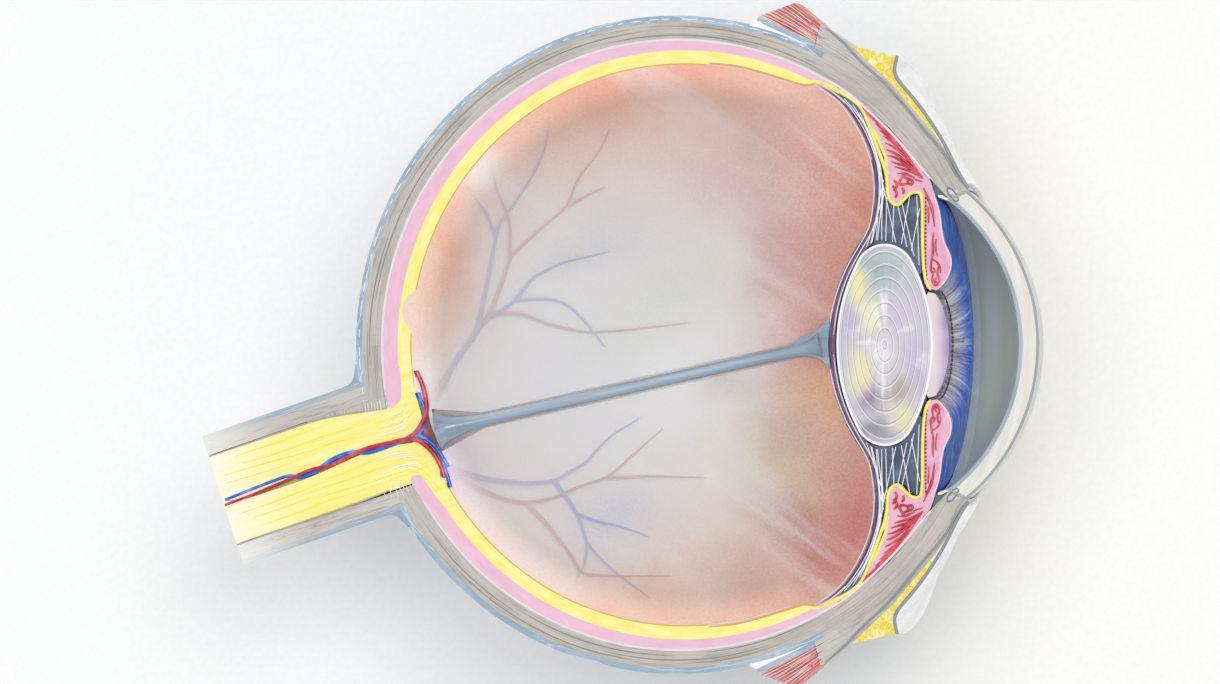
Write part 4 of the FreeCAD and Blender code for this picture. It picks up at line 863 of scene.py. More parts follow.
# Patches of the cut face round the nerve head. A place given twice makes a sharper corner.
NERVE_ABOVE = [
    (-85.0, -20.0), (-85.0, -20.0), (-76.4, -17.1), (-69.4, -14.8), (-64.1, -13.1), (-56.6, -12.0),
    (-53.8, -11.8), (-52.4, -11.4), (-51.3, -10.9), (-50.2, -10.0), (-49.8, -8.7), (-49.9, -4.6),
    (-49.6, -1.0), (-48.2, -1.0), (-47.9, -4.6), (-47.5, -7.1), (-46.9, -10.0), (-46.0, -12.7),
    (-46.2, -14.0), (-47.5, -15.5), (-50.0, -16.7), (-54.8, -17.9), (-60.0, -19.6), (-66.0, -22.4),
    (-76.4, -26.4), (-79.5, -27.5), (-82.5, -27.7), (-82.5, -27.7),
]
NERVE_BELOW = [
    (-82.5, -27.7), (-82.5, -27.7), (-79.5, -27.6), (-76.4, -26.8), (-66.0, -23.4), (-60.0, -20.6),
    (-54.8, -18.5), (-50.0, -17.6), (-47.1, -17.3), (-45.3, -18.3), (-43.7, -19.8), (-42.8, -21.7),
    (-42.0, -23.8), (-40.7, -26.3), (-39.2, -28.4), (-40.9, -29.8), (-43.7, -26.7), (-44.9, -24.8),
    (-45.9, -23.4), (-46.8, -23.0), (-47.8, -23.1), (-49.2, -23.8), (-50.8, -24.8), (-52.8, -25.9),
    (-54.8, -26.7), (-58.7, -28.0), (-62.6, -29.3), (-72.5, -32.6), (-80.0, -35.1), (-80.0, -35.1),
]
CUP = [
    (-44.9, -11.4), (-44.6, -13.7), (-43.9, -15.6), (-42.9, -17.1), (-42.1, -19.0), (-43.7, -17.3),
    (-45.3, -16.1), (-45.9, -15.7), (-45.4, -14.1),
]
CHOROID_ENDS = [
    [(-53.0, -3.0), (-52.9, -7.1), (-52.4, -10.2), (-52.1, -11.2), (-52.0, -11.3), (-51.4, -11.3),
     (-49.9, -9.7), (-49.8, -9.4), (-49.9, -6.2), (-50.2, -3.0)],
    [(-48.3, -23.9), (-47.7, -23.2), (-46.7, -23.0), (-45.9, -23.5), (-44.9, -25.0), (-43.7, -27.0),
     (-45.3, -28.6), (-47.0, -26.0)],
]
SHEATH_CORNER = [
    (-66.0, -13.6), (-61.0, -12.5), (-56.6, -11.8), (-52.4, -11.3), (-52.2, -11.3), (-52.2, -10.0),
    (-52.4, -8.9), (-52.4, -8.9), (-57.0, -10.4), (-62.0, -12.1),
]
SHEATH_LINES = [
    [(-84.9, -19.8), (-76.0, -16.8), (-69.4, -14.6), (-64.0, -12.9), (-56.6, -11.8), (-52.6, -11.3)],
    [(-79.9, -35.5), (-72.0, -32.8), (-64.0, -30.1), (-56.0, -27.4), (-52.0, -25.8)],
]
SHEATH_SEAM = [[(-67.0, -13.7), (-62.0, -12.05), (-57.0, -10.35), (-52.5, -8.85)]]
# The skin's fillet between globe and sheath: back along the nerve, and out from it.
FILLET = [
    (59.8, 12.05), (58.7, 12.15), (57.9, 12.55), (57.3, 13.2), (56.85, 14.1), (56.3, 15.2), (56.0, 14.8),
    (56.5, 12.8), (57.0, 11.8), (59.8, 11.8),
]


def drawn(plans, rise):
    """Strands on the cut face that thin out at both ends."""
    runs = []
    for plan in plans:
        places = [on_cut(*place, rise) for place in plan]
        shares = [0.35] + [1.0] * (len(places) - 2) + [0.35]
        runs.append([(*place, share) for place, share in zip(places, shares)])
    return runs


def make_nerve_fibres():
    """White and gold fibres in the nerve, and pale strands across its head."""
    white = layered("fibre_white", (252, 252, 250), 3, (30, 900, 400), roughness=0.4)
    gold = layered("fibre_gold", (255, 248, 100), 6, (30, 900, 400), roughness=0.4)
    for name, plans, rise, thickness, finish in (("nerve_fibres_white", WHITE_FIBRES, 0.1, 0.17, white),
                                                 ("lamina_strands", LAMINA_STRANDS, 0.12, 0.15, white),
                                                 ("nerve_fibres_gold", GOLD_FIBRES, 0.06, 0.12, gold)):
        threads(name, drawn(plans, rise), thickness, finish, "uvea_insert")


def make_nerve_head():
    """The nerve fanning out into the retina, with the rounded ends of the choroid beside it."""
    yellow = Finish("nerve_head_yellow", roughness=0.45, coat=0.1)
    streak = yellow.noise(yellow.place((60, 900, 900), NERVE_SLANT), warp=0.4)
    yellow.colour(faded_end(yellow, yellow.tones(streak, (246, 234, 118), (250, 240, 140), (252, 246, 172))))
    pink = layered("choroid_end_pink", (236, 188, 211), 7, (10, 600, 60))
    # The cup's plate is red-brown, partly its colour and partly painted shade of the hollow by the disc.
    brown = Finish("disc_cup_brown_and_shade", roughness=0.4, coat=0.1)
    depth = brown.noise(brown.place(), 300, detail=2)
    brown.colour(brown.tones(depth, (104, 44, 40), (146, 78, 66), (186, 120, 100)))
    grey = layered("sheath_corner_grey", (197, 191, 183), 8, (3.5, 1500, 60), line=(150, 142, 138))
    for name, outline, top, finish, slot in (("choroid_end_0", CHOROID_ENDS[0], 0.05, pink, "choroid"),
                                             ("choroid_end_1", CHOROID_ENDS[1], 0.05, pink, "choroid"),
                                             ("nerve_above", NERVE_ABOVE, 0.03, yellow, "nerve"),
                                             ("nerve_below", NERVE_BELOW, 0.03, yellow, "nerve"),
                                             ("disc_cup", CUP, 0.05, brown, "nerve"),
                                             ("sheath_corner", SHEATH_CORNER, 0.04, grey, "nerve")):
        plate(name, outline, top, 0.3, finish, "uvea_insert")
    line = layered("sheath_line", (176, 170, 164), 6, SEAM_GRAIN)
    inked("sheath_lines", SHEATH_LINES, 0.16, line, "bowl", 0.05, 0.6)
    inked("sheath_seam", SHEATH_SEAM, 0.26, grey, "bowl", -0.18, 0.8)
    skin = layered("skin_fillet_blue", (148, 170, 190), 10, (8, 500, 60))
    cos, sin = math.cos(NERVE_SLANT), math.sin(NERVE_SLANT)
    outline = [(-reach * cos - out * sin, -reach * sin + out * cos, -0.04) for reach, out in FILLET]
    hand_over(turned(outline, 180, (cos, sin, 0), 48), "skin_fillet", skin, "bowl")


# ---------------------------------------------------------------- patches and seams of the cut face

# Places on the cut face, along the optic axis and out from it, on its upper side. First, the fovea's pit.
PIT = [
    (-45.9, 11.4), (-46.7, 10.3), (-47.4, 9.5), (-48.3, 8.9), (-49.2, 8.0), (-49.7, 6.6), (-49.6, 5.0),
    (-49.1, 3.9), (-48.4, 2.9), (-47.9, 1.6), (-47.4, 0.6), (-46.7, 1.0), (-46.6, 5.0),
]
# Where the retina stops, above the optic axis.
ORA_EDGE = [
    (6.0, 49.75), (8.2, 49.6), (11.9, 49.1), (15.6, 48.1), (19.3, 47.0), (21.2, 46.4), (23.0, 45.8),
    (24.4, 45.8), (25.6, 46.2),
]
SHOULDER = ORA_EDGE + [
    (26.6, 45.6), (28.6, 44.2), (30.4, 42.6), (32.2, 40.4), (34.0, 37.4), (35.2, 34.6), (35.8, 32.2),
    (34.6, 32.0), (33.0, 34.6), (31.0, 37.2), (28.0, 39.8), (24.4, 42.2), (18.0, 45.4), (12.0, 47.4),
    (6.0, 48.8),
]
ORA_END = [
    (24.0, 46.0), (24.6, 46.7), (25.6, 46.6), (26.6, 46.5), (29.0, 45.4), (31.4, 44.2), (31.0, 43.8),
    (29.4, 44.3), (27.4, 45.4), (26.0, 46.1), (25.0, 45.9),
]
ZONULE_SPACE = [
    (26.8, 45.5), (29.6, 44.4), (32.2, 42.9), (33.6, 41.4), (34.7, 39.0), (35.9, 35.9), (36.9, 33.2),
    (37.5, 31.2), (37.2, 29.9), (36.6, 31.6), (35.5, 35.1), (33.9, 38.7), (31.6, 42.0), (30.0, 43.5),
    (28.0, 45.0),
]
CHAMBER_BACK = [
    (37.2, 32.0), (37.5, 29.9), (37.8, 28.4), (38.0, 26.8), (38.4, 25.2), (39.4, 24.2), (40.7, 24.2),
    (41.8, 25.2), (42.9, 26.3), (43.9, 26.4), (44.2, 24.6), (44.2, 21.6), (44.2, 18.0), (44.2, 15.2),
    (44.5, 12.6), (43.6, 12.4), (42.4, 14.6), (41.2, 16.2), (39.8, 17.1), (38.0, 17.4), (36.3, 17.2),
    (35.0, 16.6), (35.0, 17.8), (36.2, 20.4), (36.8, 23.2), (37.2, 26.4), (37.0, 29.8),
]
LENS_BACK = [
    (28.95, 2.2), (29.25, 4.6), (29.85, 7.8), (30.95, 11.1), (32.5, 14.2), (34.3, 16.7), (36.0, 18.2),
]
LENS_FRONT = [
    (46.0, 0.0), (49.5, 0.0), (49.45, 1.5), (49.25, 3.2), (48.9, 4.9), (48.4, 6.5), (47.8, 7.8), (47.0, 9.0),
    (45.8, 9.3), (45.0, 8.0),
]
ANGLE_COLLAR = [
    (49.6, 25.2), (48.9, 25.5), (48.2, 25.8), (47.5, 26.0), (47.5, 26.4), (48.3, 26.3), (49.0, 25.9),
    (49.7, 25.6),
]
LIMBUS_LINE = [(49.3, 25.4), (50.6, 26.0), (51.9, 26.6), (53.2, 27.1)]
IRIS_ROOT = [
    (43.9, 30.9), (44.9, 30.2), (45.6, 29.5), (46.3, 28.6), (46.5, 27.4), (46.3, 26.0), (45.2, 25.8),
    (44.4, 26.4), (43.4, 27.0), (42.6, 27.6), (43.2, 29.2),
]
CHAMBER_CORNER = [
    (46.0, 29.6), (46.4, 28.4), (46.6, 27.0), (47.4, 25.8), (48.4, 25.4), (48.9, 25.8), (48.6, 26.9),
    (47.4, 28.4), (46.4, 29.8),
]
# The front of the vitreous, from the end of the retina in to the back of the lens.
MEMBRANE = [
    (25.8, 45.9), (27.6, 44.8), (29.6, 43.3), (31.1, 41.8), (33.3, 38.6), (34.9, 35.4), (35.9, 32.4),
    (36.4, 29.8), (36.5, 26.4), (36.1, 23.2), (35.5, 20.4), (33.4, 17.0), (31.6, 14.0), (30.2, 10.8),
    (29.1, 7.4), (28.4, 3.8), (28.2, 1.6),
]
# Radius and both angles of the fibre lines in the sclera.
SCLERA_ARCS = [
    (55.6, 96, 128), (55.1, 132, 172), (56.2, 112, 150), (55.7, 158, 184), (54.7, 74, 104),
    (56.3, 70, 92), (55.2, 60, 82), (56.2, 176, 188), (54.9, 178, 190), (55.5, 214, 240),
    (56.2, 224, 262), (54.9, 238, 270), (55.7, 256, 288), (54.6, 276, 298), (56.3, 270, 286),
]


def make_strips(milk_and_painted_shade, brown, white):
    """Trims in the seams round the vitreous and the choroid, above and below the nerve."""
    for number, sweep in enumerate(((57.5, 190.5), (207.5, 302.5))):
        strip(f"suprachoroid_line_{number}", (53.66, 54.06), CHOROID_SHIFT, sweep, 0.4, white, "bowl")
    for number, sweep in enumerate(((60.8, 190.0), (208.5, 299.2))):
        strip(f"vitreous_edge_{number}", (48.42, 49.46), RETINA_SHIFT, sweep, 0.2, milk_and_painted_shade, "vitreous")
        strip(f"retina_inner_line_{number}", (49.46, 49.7), RETINA_SHIFT, sweep, 0.3, brown, "uvea_insert")


def make_seams():
    """The ends of the layers and the spaces between them, from the retina to the iris. Plates of painted
    shade fill the spaces round the lens and the chamber's corner.
    """
    milk_and_painted_shade = Finish("vitreous_edge", roughness=0.4)
    # Painted shade: the milky tints are darkened a tenth towards brown, to match the jelly over the shaded
    # bowl.
    milk_and_painted_shade.colour(milk_and_painted_shade.mix(0.1, vitreous_tints(milk_and_painted_shade), (170, 110, 90)))
    brown = layered("retina_inner_line", (218, 176, 84), 10, SEAM_GRAIN)
    white = layered("seam_white", (226, 222, 226), 6, SEAM_GRAIN)
    make_strips(milk_and_painted_shade, brown, white)
    # Painted shade: slate plates fill the spaces round the lens, where there is only shade.
    slate = Finish("chamber_slate_painted_shade", roughness=0.5)
    depth = slate.noise(slate.place((1, 1, 0)), 260)
    slate.colour(slate.tones(depth, (58, 74, 98), (84, 100, 126), (118, 134, 160)))
    gold = layered("ora_yellow", (250, 240, 142), 6, SEAM_GRAIN)
    pink = tissue("iris_root_pink", (231, 178, 202), DUSK)
    # Painted shade: a dark grey-green plate sunk into the chamber's corner.
    painted_corner_shade = layered("chamber_corner_painted_shade", (98, 114, 114), 8, SEAM_GRAIN)
    for name, outline, top, depth, finish, body, slot in (
            ("vitreous_shoulder", SHOULDER, 0.03, 0.3, milk_and_painted_shade, "vitreous", "vitreous"),
            ("ora_end", ORA_END, 0.04, 0.3, gold, "uvea_insert", "retina"),
            ("zonule_space", ZONULE_SPACE, 0.02, 0.3, slate, "uvea_insert", "ciliary"),
            ("chamber_back", CHAMBER_BACK, -1.1, 0.4, slate, "lens", "zonule"),
            ("iris_root", IRIS_ROOT, 0.02, 0.5, pink, "uvea_insert", "iris"),
            ("chamber_corner", CHAMBER_CORNER, -0.7, 0.3, painted_corner_shade, "uvea_insert", "iris")):
        both_sides(name, outline, top, depth, finish, body)
    plate("fovea_fill", PIT, 0.04, 0.3, milk_and_painted_shade, "vitreous")

    glints = [(along - 0.15, out - 0.4) for along, out in ORA_EDGE[:6]]
    grey = layered("limbus_grey", (176, 176, 174), 8, SEAM_GRAIN)
    inked("ora_lines", mirrored([ORA_EDGE]), 0.13, brown, "uvea_insert", 0.05, 0.4)
    inked("vitreous_glints", mirrored([glints]), 0.1, white, "vitreous", 0.05, 0.2)
    inked("limbus_line", mirrored([LIMBUS_LINE]), 0.24, grey, "bowl", 0.0, 0.8)


def make_lens_seat():
    """The dark seat in the vitreous, between its front and the back of the lens."""
    purple = layered("lens_seat_purple", (112, 86, 110), 10, SEAM_GRAIN)
    front, back = mirrored([MEMBRANE[9:]]), mirrored([LENS_BACK])
    seat = front[0] + front[1][::-1] + back[1][::-1] + back[0]
    plate("lens_seat", seat, -0.06, 0.3, purple, "vitreous")


def make_lens_front():
    """The front of the lens, bulging through the pupil. Its flat top turns violet towards the front, partly
    the lens's colour and partly painted shade of a curved face.
    """
    finish = Finish("lens_front_violet", roughness=0.25, coat=0.5)
    ahead = finish.parts(finish.place(centre=(46.6, 0, 68)))[0]
    soft = finish.noise(finish.place(), 120, detail=2)
    # Painted shade: pale at the back, darker violet towards the front.
    base = finish.veil((222, 206, 210), (160, 122, 178), ahead, 0.0, 0.0028)
    finish.colour(finish.veil(base, (246, 240, 246), soft, 0.45, 0.7, 0.25))
    hand_over(half_ring(LENS_FRONT, 0.03, 72, (0, 0, -0.03)), "lens_front", finish, "lens")


def make_angle_collar():
    """The pale collar in the angle between the iris and the cornea."""
    pale = layered("angle_collar_pale", (236, 238, 222), 6)
    hand_over(half_ring(ANGLE_COLLAR, 0.02, 96), "angle_collar", pale, "bowl")


def make_pupil_rim():
    """Short dark dashes round the edge of the pupil."""
    dark = layered("pupil_rim_dark", (84, 72, 84), 10, SEAM_GRAIN)
    radius = 9.55
    first, apart = 2.5, 4.86
    rims = []
    for number in range(36):
        # A dash fills seven tenths of its room. The rim bows forward at its lowest place.
        turns = [math.radians(first + (number + share) * apart) for share in (0.0, 0.35, 0.7)]
        rims.append([(47.5 + 0.6 * math.sin(turn), radius * math.cos(turn), -radius * math.sin(turn), 1.0)
                     for turn in turns])
    threads("pupil_rim", rims, 0.13, dark, "uvea_insert", smooth=2)


def make_wall_lines():
    """Fibre lines in the sclera, and pale glints where the skin meets it."""
    grey = layered("sclera_line", (150, 144, 142), 8, SEAM_GRAIN)
    inked("sclera_lines", [arc(*sweep) for sweep in SCLERA_ARCS], 0.1, grey, "bowl", 0.0, 0.2)
    glint = layered("skin_glint", (246, 249, 252), 3, SEAM_GRAIN)
    dashes = []
    for number in range(46):
        # Dashes 2.7 degrees apart, whose starts and lengths vary a little.
        start = 66 + number * 2.7 + (number * 7 % 5) * 0.25
        dashes.append(arc(57.5, start, start + 1.0 + (number * 5 % 4) * 0.35))
    inked("skin_glints", dashes, 0.13, glint, "bowl", 0.02, 0.4)


def make_membrane():
    """Pale lines along both sides of the front of the vitreous."""
    pale = layered("membrane_edge", (226, 220, 236), 6)
    outer = [(along + 0.5, out + 0.1) for along, out in MEMBRANE]
    inner = [(along - 0.46, out - 0.12) for along, out in MEMBRANE]
    inked("membrane_edges", mirrored([outer, inner]), 0.12, pale, "vitreous", 0.03, 0.5)
    purple = layered("membrane_line", (92, 66, 96), 10)
    inked("membrane_band", mirrored([MEMBRANE[:9]]), 0.34, purple, "vitreous", -0.26, 0.8)


# ---------------------------------------------------------------- hyaloid canal

# Along the cord and out from it: its side, the hollows of its two cups, and the patch at its mouth.
CANAL_SIDE = [
    (-44.6, 3.45), (-43.9, 2.9), (-42.8, 2.35), (-41.2, 1.85), (-39.0, 1.45), (-36.4, 1.2), (-33.0, 1.08),
    (-20.0, 1.05), (0.0, 1.05), (14.0, 1.05), (20.5, 1.1), (22.8, 1.25), (24.4, 1.55), (25.6, 1.95),
    (26.5, 2.45),
]
CANAL_CUPS = [(26.3, 1.9), (26.0, 0.0), (-43.7, 0.0), (-44.1, 2.6)]
CANAL_MOUTH = [
    (21.6, 0.9), (23.8, 1.5), (25.4, 2.2), (26.6, 3.1), (27.4, 4.1), (28.2, 4.6), (28.0, 2.4), (27.8, 0.0),
    (28.0, -2.4), (28.4, -4.6), (27.6, -3.6), (26.8, -2.7), (25.4, -2.0), (23.8, -1.8), (22.0, -1.9),
]


def make_canal():
    """A slim cord whose two ends widen into shallow cups."""
    slant = math.radians(12.2)
    front = 26.7
    cos, sin = math.cos(slant), math.sin(slant)
    outline = [(front + (reach - front) * cos, (reach - front) * sin, radius)
               for reach, radius in CANAL_SIDE + CANAL_CUPS]
    piece = turned(outline, 360, (cos, sin, 0), 48, (front, 0, 0))
    finish = Finish("canal_glaze", roughness=0.28, coat=0.5)
    soft = finish.noise(finish.place((0.12, 3, 3), slant), 160)
    base = finish.ramp(soft, [(0.3, (118, 138, 158)), (0.5, (142, 161, 180)), (0.72, (186, 199, 212))])
    finish.colour(base)
    finish.bump(soft, 0.05 * MM)
    hand_over(piece, "hyaloid_canal_tube", finish, "canal", ["hyaloid_canal"])
    plate("canal_mouth", CANAL_MOUTH, 0.9, 0.5, finish, "canal")


# ---------------------------------------------------------------- ciliary body, iris and outer edge

# Places on the cut face above the optic axis: along it and out from it.
CILIARY_FIBRES = [
    [(31.6, 43.6), (34.2, 41.4), (36.6, 39.2), (38.4, 37.6)],
    [(34.5, 41.1), (36.8, 38.9), (38.8, 37.0), (40.4, 35.4)],
    [(36.2, 39.0), (38.2, 37.2), (40.2, 35.4), (41.8, 33.6)],
    [(37.0, 37.8), (38.6, 36.6), (40.2, 35.2), (41.8, 33.4), (43.4, 31.4)],
    [(37.6, 36.8), (39.2, 35.8), (41.0, 34.4), (42.6, 32.4), (44.2, 30.2)],
    [(37.9, 35.6), (39.4, 34.9), (41.0, 33.8), (42.8, 31.9), (44.4, 30.0)],
    [(38.2, 34.4), (38.8, 34.2), (40.2, 33.5), (41.8, 32.2), (43.4, 30.8), (44.6, 29.8)],
    [(38.4, 33.3), (39.4, 33.2), (40.8, 32.4), (42.6, 31.2), (44.6, 29.6)],
    [(39.0, 32.3), (40.4, 31.8), (42.0, 31.4), (43.6, 30.4), (44.8, 29.5)],
    [(39.6, 31.4), (40.9, 31.0), (42.6, 30.6), (44.0, 29.8), (44.9, 29.2)],
    [(40.1, 30.1), (41.4, 30.3), (42.3, 29.8), (43.4, 29.4)], [(43.0, 29.3), (43.9, 28.9), (44.8, 28.7)],
]
CILIARY_TANGLE = [
    [(41.4, 30.0), (40.7, 29.1), (40.6, 28.4), (41.2, 28.1), (42.0, 28.4)],
    [(42.0, 28.8), (42.4, 28.1), (43.0, 28.4), (42.9, 29.0), (42.1, 29.3)],
    [(41.0, 29.7), (41.8, 29.4), (42.3, 29.0), (42.0, 28.6)],
    [(39.6, 28.9), (40.3, 28.4), (40.0, 27.6), (39.5, 27.2)],
    [(39.4, 28.0), (39.9, 27.2), (40.2, 26.4), (39.8, 25.9)], [(41.0, 27.6), (41.6, 27.2), (41.2, 26.6)],
]
CILIARY_BORDER = [
    (27.6, 46.6), (29.6, 45.6), (33.0, 43.0), (36.3, 40.0), (39.4, 37.0), (42.2, 33.9), (44.4, 31.2),
    (46.2, 29.2),
]
IRIS_VESSELS = [
    [(44.9, 27.6), (45.8, 25.9), (46.6, 23.9), (46.8, 22.4)],
    [(45.3, 26.4), (46.1, 24.8), (46.7, 22.8), (46.9, 20.8)],
    [(46.7, 19.8), (46.5, 18.0), (46.7, 16.2), (46.2, 14.4), (46.4, 12.6)],
    [(47.2, 18.6), (46.9, 17.2), (47.4, 15.6)], [(45.7, 24.4), (45.9, 22.9), (45.8, 21.4)],
]
IRIS_TANGLE = [
    [(46.4, 14.9), (46.1, 13.6), (46.4, 12.7), (47.1, 12.9), (46.7, 13.6)],
    [(46.7, 12.7), (46.4, 11.8), (46.7, 10.6), (47.4, 10.4), (47.9, 11.4), (47.7, 12.2)],
    [(47.6, 13.8), (47.4, 12.9), (47.5, 12.0), (47.9, 11.8)],
    [(46.6, 15.0), (47.3, 14.7), (48.0, 13.6), (48.0, 12.6)],
    [(46.6, 11.4), (46.9, 10.5), (47.4, 10.8), (46.9, 11.4), (47.3, 11.8)],
]
# The front of the iris, from its root to the edge of the pupil, and the way back inside it.
IRIS_FRONT = [
    (46.5, 26.8), (47.2, 25.2), (47.7, 23.6), (48.0, 21.8), (48.1, 19.8), (48.5, 18.2), (49.1, 17.0),
    (49.7, 15.8), (49.9, 14.6), (49.8, 13.3), (49.3, 12.0), (48.5, 10.8), (47.5, 9.8),
]
IRIS_INSIDE = [
    (46.8, 10.4), (47.6, 11.4), (48.3, 12.8), (48.6, 14.6), (48.4, 16.4), (47.9, 18.9), (47.6, 21.4),
    (47.0, 24.2), (46.4, 26.0),
]
# The yellow lining, from the end of the retina round the folds and down the back of the iris.
LINING = [
    (26.3, 46.3), (29.6, 44.7), (32.2, 43.2), (33.8, 41.7), (34.9, 39.2), (36.1, 36.1), (37.1, 33.4),
    (37.7, 31.8), (38.0, 30.8), (38.2, 29.9), (38.4, 28.6), (38.4, 27.2), (38.7, 25.7), (39.4, 24.8),
    (40.4, 24.6), (41.4, 25.6), (42.3, 26.6), (43.6, 27.0), (44.5, 26.6), (44.75, 24.6), (44.75, 21.6),
    (44.75, 18.4), (44.85, 15.2), (45.1, 12.4), (45.6, 10.3), (46.3, 9.7),
]
CANAL_RING = [
    (49.2, 27.6), (49.8, 27.6), (50.5, 26.9), (51.1, 26.0), (51.2, 25.4), (50.8, 25.2), (50.2, 25.6),
    (49.5, 26.4), (49.1, 27.1), (49.2, 27.6),
]
SCLERA_EDGE = [
    (27.2, 56.0), (28.9, 54.6), (31.0, 52.8), (33.4, 50.0), (37.3, 46.7), (41.1, 42.6), (44.9, 37.9),
    (47.5, 35.1), (49.5, 32.4), (51.0, 29.4), (52.9, 27.4),
]
CONJUNCTIVA_EDGE = [
    (40.2, 50.9), (39.8, 49.5), (39.6, 48.1), (40.3, 46.5), (42.7, 43.9), (45.3, 40.6), (47.9, 36.7),
    (49.9, 33.0), (51.4, 29.8), (53.0, 27.6),
]
# The white gap behind each muscle.
FASCIA_GAP = [
    (24.9, 52.3), (21.2, 54.2), (17.7, 55.7), (14.9, 57.1), (14.5, 57.2), (13.2, 56.3), (14.3, 56.1),
    (18.2, 55.1), (22.0, 53.6),
]


def make_front():
    """Strands, vessels and outlines of the ciliary body, the iris and the outer edge."""
    red = vessel_finish("muscle_strand", (208, 54, 74), (240, 132, 148))
    dark = vessel_finish("iris_vessel", (196, 44, 62), (236, 120, 136))
    yellow = layered("lining_yellow", (250, 236, 130), 8)
    pale = layered("ciliary_border", (250, 224, 236), 5)
    ring = layered("canal_ring_line", (112, 130, 154), 8)
    grey = layered("outer_line_grey", (146, 148, 152), 8)
    for name, plans, thickness, finish, body, slot, rise, ends in (
            ("ciliary_muscle_strands", CILIARY_FIBRES, 0.24, red, "uvea_insert", "ciliary", 0.06, 0.25),
            ("ciliary_vessels", CILIARY_TANGLE, 0.25, dark, "uvea_insert", "ciliary", 0.08, 0.8),
            ("iris_vessels", IRIS_VESSELS + IRIS_TANGLE, 0.2, dark, "uvea_insert", "iris", 0.08, 0.6),
            ("ciliary_lining", [LINING], 0.34, yellow, "uvea_insert", "ciliary", 0.0, 0.7),
            ("ciliary_border", [CILIARY_BORDER], 0.26, pale, "uvea_insert", "ciliary", 0.0, 0.7),
            ("canal_ring_edge", [CANAL_RING], 0.13, ring, "bowl", "canal_ring", 0.02, 1.0),
            ("sclera_edge", [SCLERA_EDGE], 0.24, grey, "bowl", "sclera", 0.0, 0.5),
            ("conjunctiva_edge", [CONJUNCTIVA_EDGE], 0.32, grey, "bowl", "conjunctiva", 0.0, 0.9),
            ("iris_border", [IRIS_FRONT], 0.16, pale, "uvea_insert", "iris", 0.0, 0.6)):
        inked(name, mirrored(plans), thickness, finish, body, rise, ends)


def make_iris_beads():
    """Dark red beads down the back of the iris, moved forward near the pupil."""
    beads = layered("iris_back_beads", (150, 24, 40), 14)
    runs = []
    for number in range(22):
        out = 26.0 - number * 0.68
        along = 45.25 + 0.5 * max(0.0, 13 - out) / 3
        runs.append([(along, out), (along + 0.12, out - 0.2), (along + 0.02, out - 0.4)])
    inked("iris_back_beads", mirrored(runs), 0.2, beads, "uvea_insert", 0.1, 0.5, smooth=2)


def make_iris_face(finish):
    """The blue face of the iris, a half ring that stands in front of its root."""
    face = half_ring(IRIS_FRONT + IRIS_INSIDE, 0.02, 120)
    lean = math.radians(2.6)
    pivot = (47.6 * MM, 0, CUT)
    bpy.ops.object.mode_set(mode="EDIT")
    bpy.ops.mesh.select_all(action="SELECT")
    bpy.ops.transform.rotate(value=lean, orient_axis="Y", center_override=pivot)
    bpy.ops.object.mode_set(mode="OBJECT")
    hand_over(face, "iris_face", finish, "uvea_insert")


def make_muscle_strands():
    """Red and pale strands that fan out from the tendon, over the white gap behind the muscle."""
    red = vessel_finish("muscle_red", (178, 66, 66), (214, 120, 114))
    pale = layered("muscle_pale", (248, 232, 224), 5)
    gap = layered("gap_white", (250, 250, 250), 3)
    count = 15
    strands = []
    for number in range(count):
        share = (number + 0.5) / count
        # The strands start in three rows on the tendon, one after another.
        row = number % 3
        near = (26.7 - 0.2 * share - row * 0.8, 52.4 + 3.4 * share + row * 0.3)
        far = (15.4 + 5.7 * share, 58.2 + 1.8 * share)
        middle = ((near[0] + far[0]) / 2 + 0.2, (near[1] + far[1]) / 2 + 0.3)
        strands.append([near, middle, far])
    inked("muscle_red_strands", mirrored(strands[::2]), 0.2, red, "bowl", 0.0, 0.2)
    inked("muscle_pale_strands", mirrored(strands[1::2]), 0.16, pale, "bowl", 0.03, 0.2)
    both_sides("fascia_gap", FASCIA_GAP, 0.03, 0.2, gap, "bowl")


# ---------------------------------------------------------------- zonule fibres

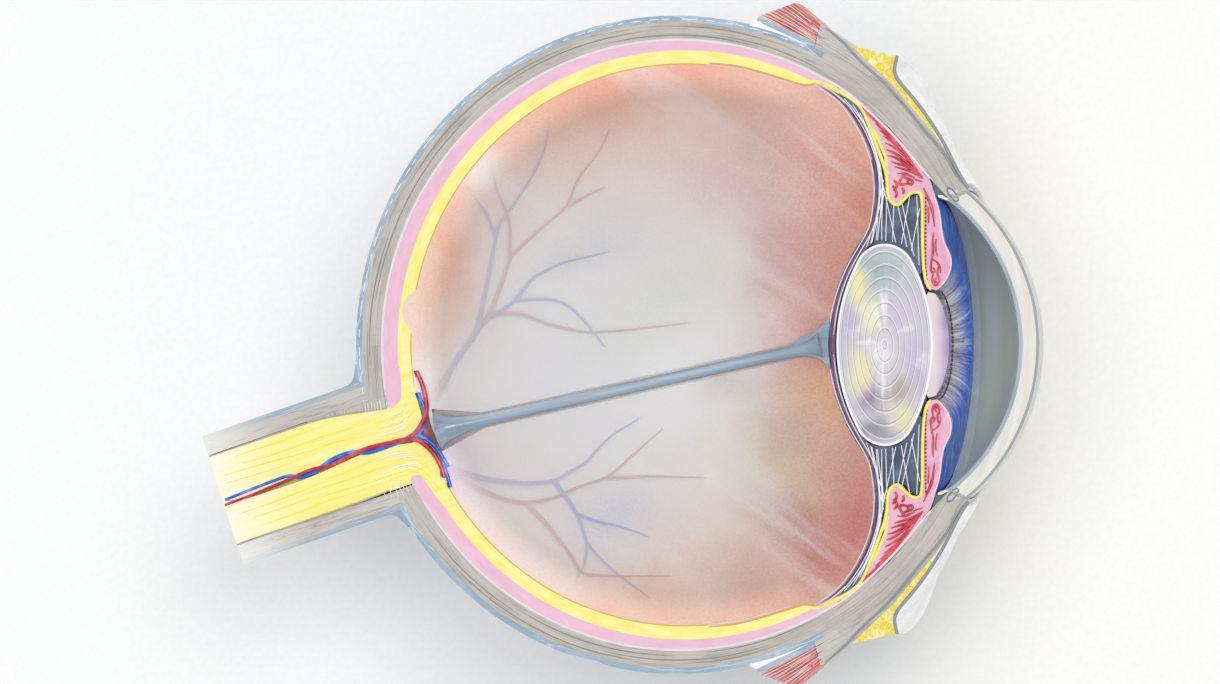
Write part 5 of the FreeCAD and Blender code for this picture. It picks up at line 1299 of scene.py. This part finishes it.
# Fibres from the folds to the rim of the lens, each as two places: along and out from the optic axis.
ZONULE_FRONT = [
    ((39.6, 25.9), (39.3, 18.1)), ((40.3, 24.4), (41.9, 17.2)), ((41.0, 25.0), (43.2, 15.6)),
    ((42.4, 26.1), (40.9, 17.7)), ((43.7, 26.3), (44.1, 14.0)), ((44.2, 24.0), (42.7, 16.5)),
]
ZONULE_BACK = [
    ((37.2, 30.9), (36.4, 18.4)), ((37.7, 29.0), (35.4, 17.8)), ((38.0, 27.0), (34.6, 17.2)),
    ((38.3, 26.0), (38.1, 18.3)), ((37.6, 28.2), (39.9, 18.0)),
]
ZONULE_LONG = [
    [(30.6, 43.4), (33.5, 40.3), (35.4, 36.4), (37.0, 31.4), (37.2, 27.0), (36.6, 22.0), (35.6, 18.0)],
    [(32.2, 42.3), (34.3, 39.0), (36.0, 35.0), (37.4, 30.6), (37.5, 26.0), (36.9, 21.0), (36.6, 18.4)],
    [(33.4, 40.9), (35.1, 37.6), (36.6, 33.4), (37.8, 28.0), (37.3, 23.0), (37.4, 18.4)],
]


def make_zonules():
    """Crossing fibres from the folds to the rim of the lens, all the way round."""
    pearl = layered("zonule_pearl", (248, 249, 252), 4, (30, 900, 400))
    pairs = ZONULE_FRONT + ZONULE_BACK
    first, apart = 0.6, 2.98
    # How far the fibres keep from the cut face, as an angle in radians.
    clear = 0.004
    runs = []
    for step in range(61):
        turn = math.radians(first + step * apart)
        for number, (fold, rim) in enumerate(pairs):
            # The end at the rim leans up to 2.2 degrees to either side, so that the fibres cross.
            lean = math.radians(((step * 7 + number * 5) % 9 - 4) * 0.55)
            ends = []
            for (along, out), at in ((fold, turn), (rim, turn + lean)):
                at = min(max(at, clear), math.pi - clear)
                ends.append((along, out * math.cos(at), -out * math.sin(at), 1.0))
            runs.append(ends)
    threads("zonule_web", runs, 0.085, pearl, "lens", ["zonule_fibres"], 1, 0)
    inked("zonule_long_fibres", mirrored(ZONULE_LONG), 0.1, pearl, "lens", 0.06, 0.6)
    cut = [list(pair) for pair in pairs]
    inked("zonule_cut_fibres", mirrored(cut), 0.1, pearl, "lens", 0.0, 0.8)


set_stage()
dress_wall()
dress_fat()
dress_muscles()
dress_nerve()
dress_retina()
dress_vitreous()
dress_uvea()
iris_finish = dress_iris()
dress_lens()
dress_cornea()
dress_foot()
make_arteries()
make_veins()
make_nerve_fibres()
make_seams()
make_lens_seat()
make_lens_front()
make_angle_collar()
make_pupil_rim()
make_wall_lines()
make_canal()
make_nerve_head()
make_front()
make_muscle_strands()
make_iris_face(iris_finish)
make_iris_beads()
make_membrane()
make_zonules()
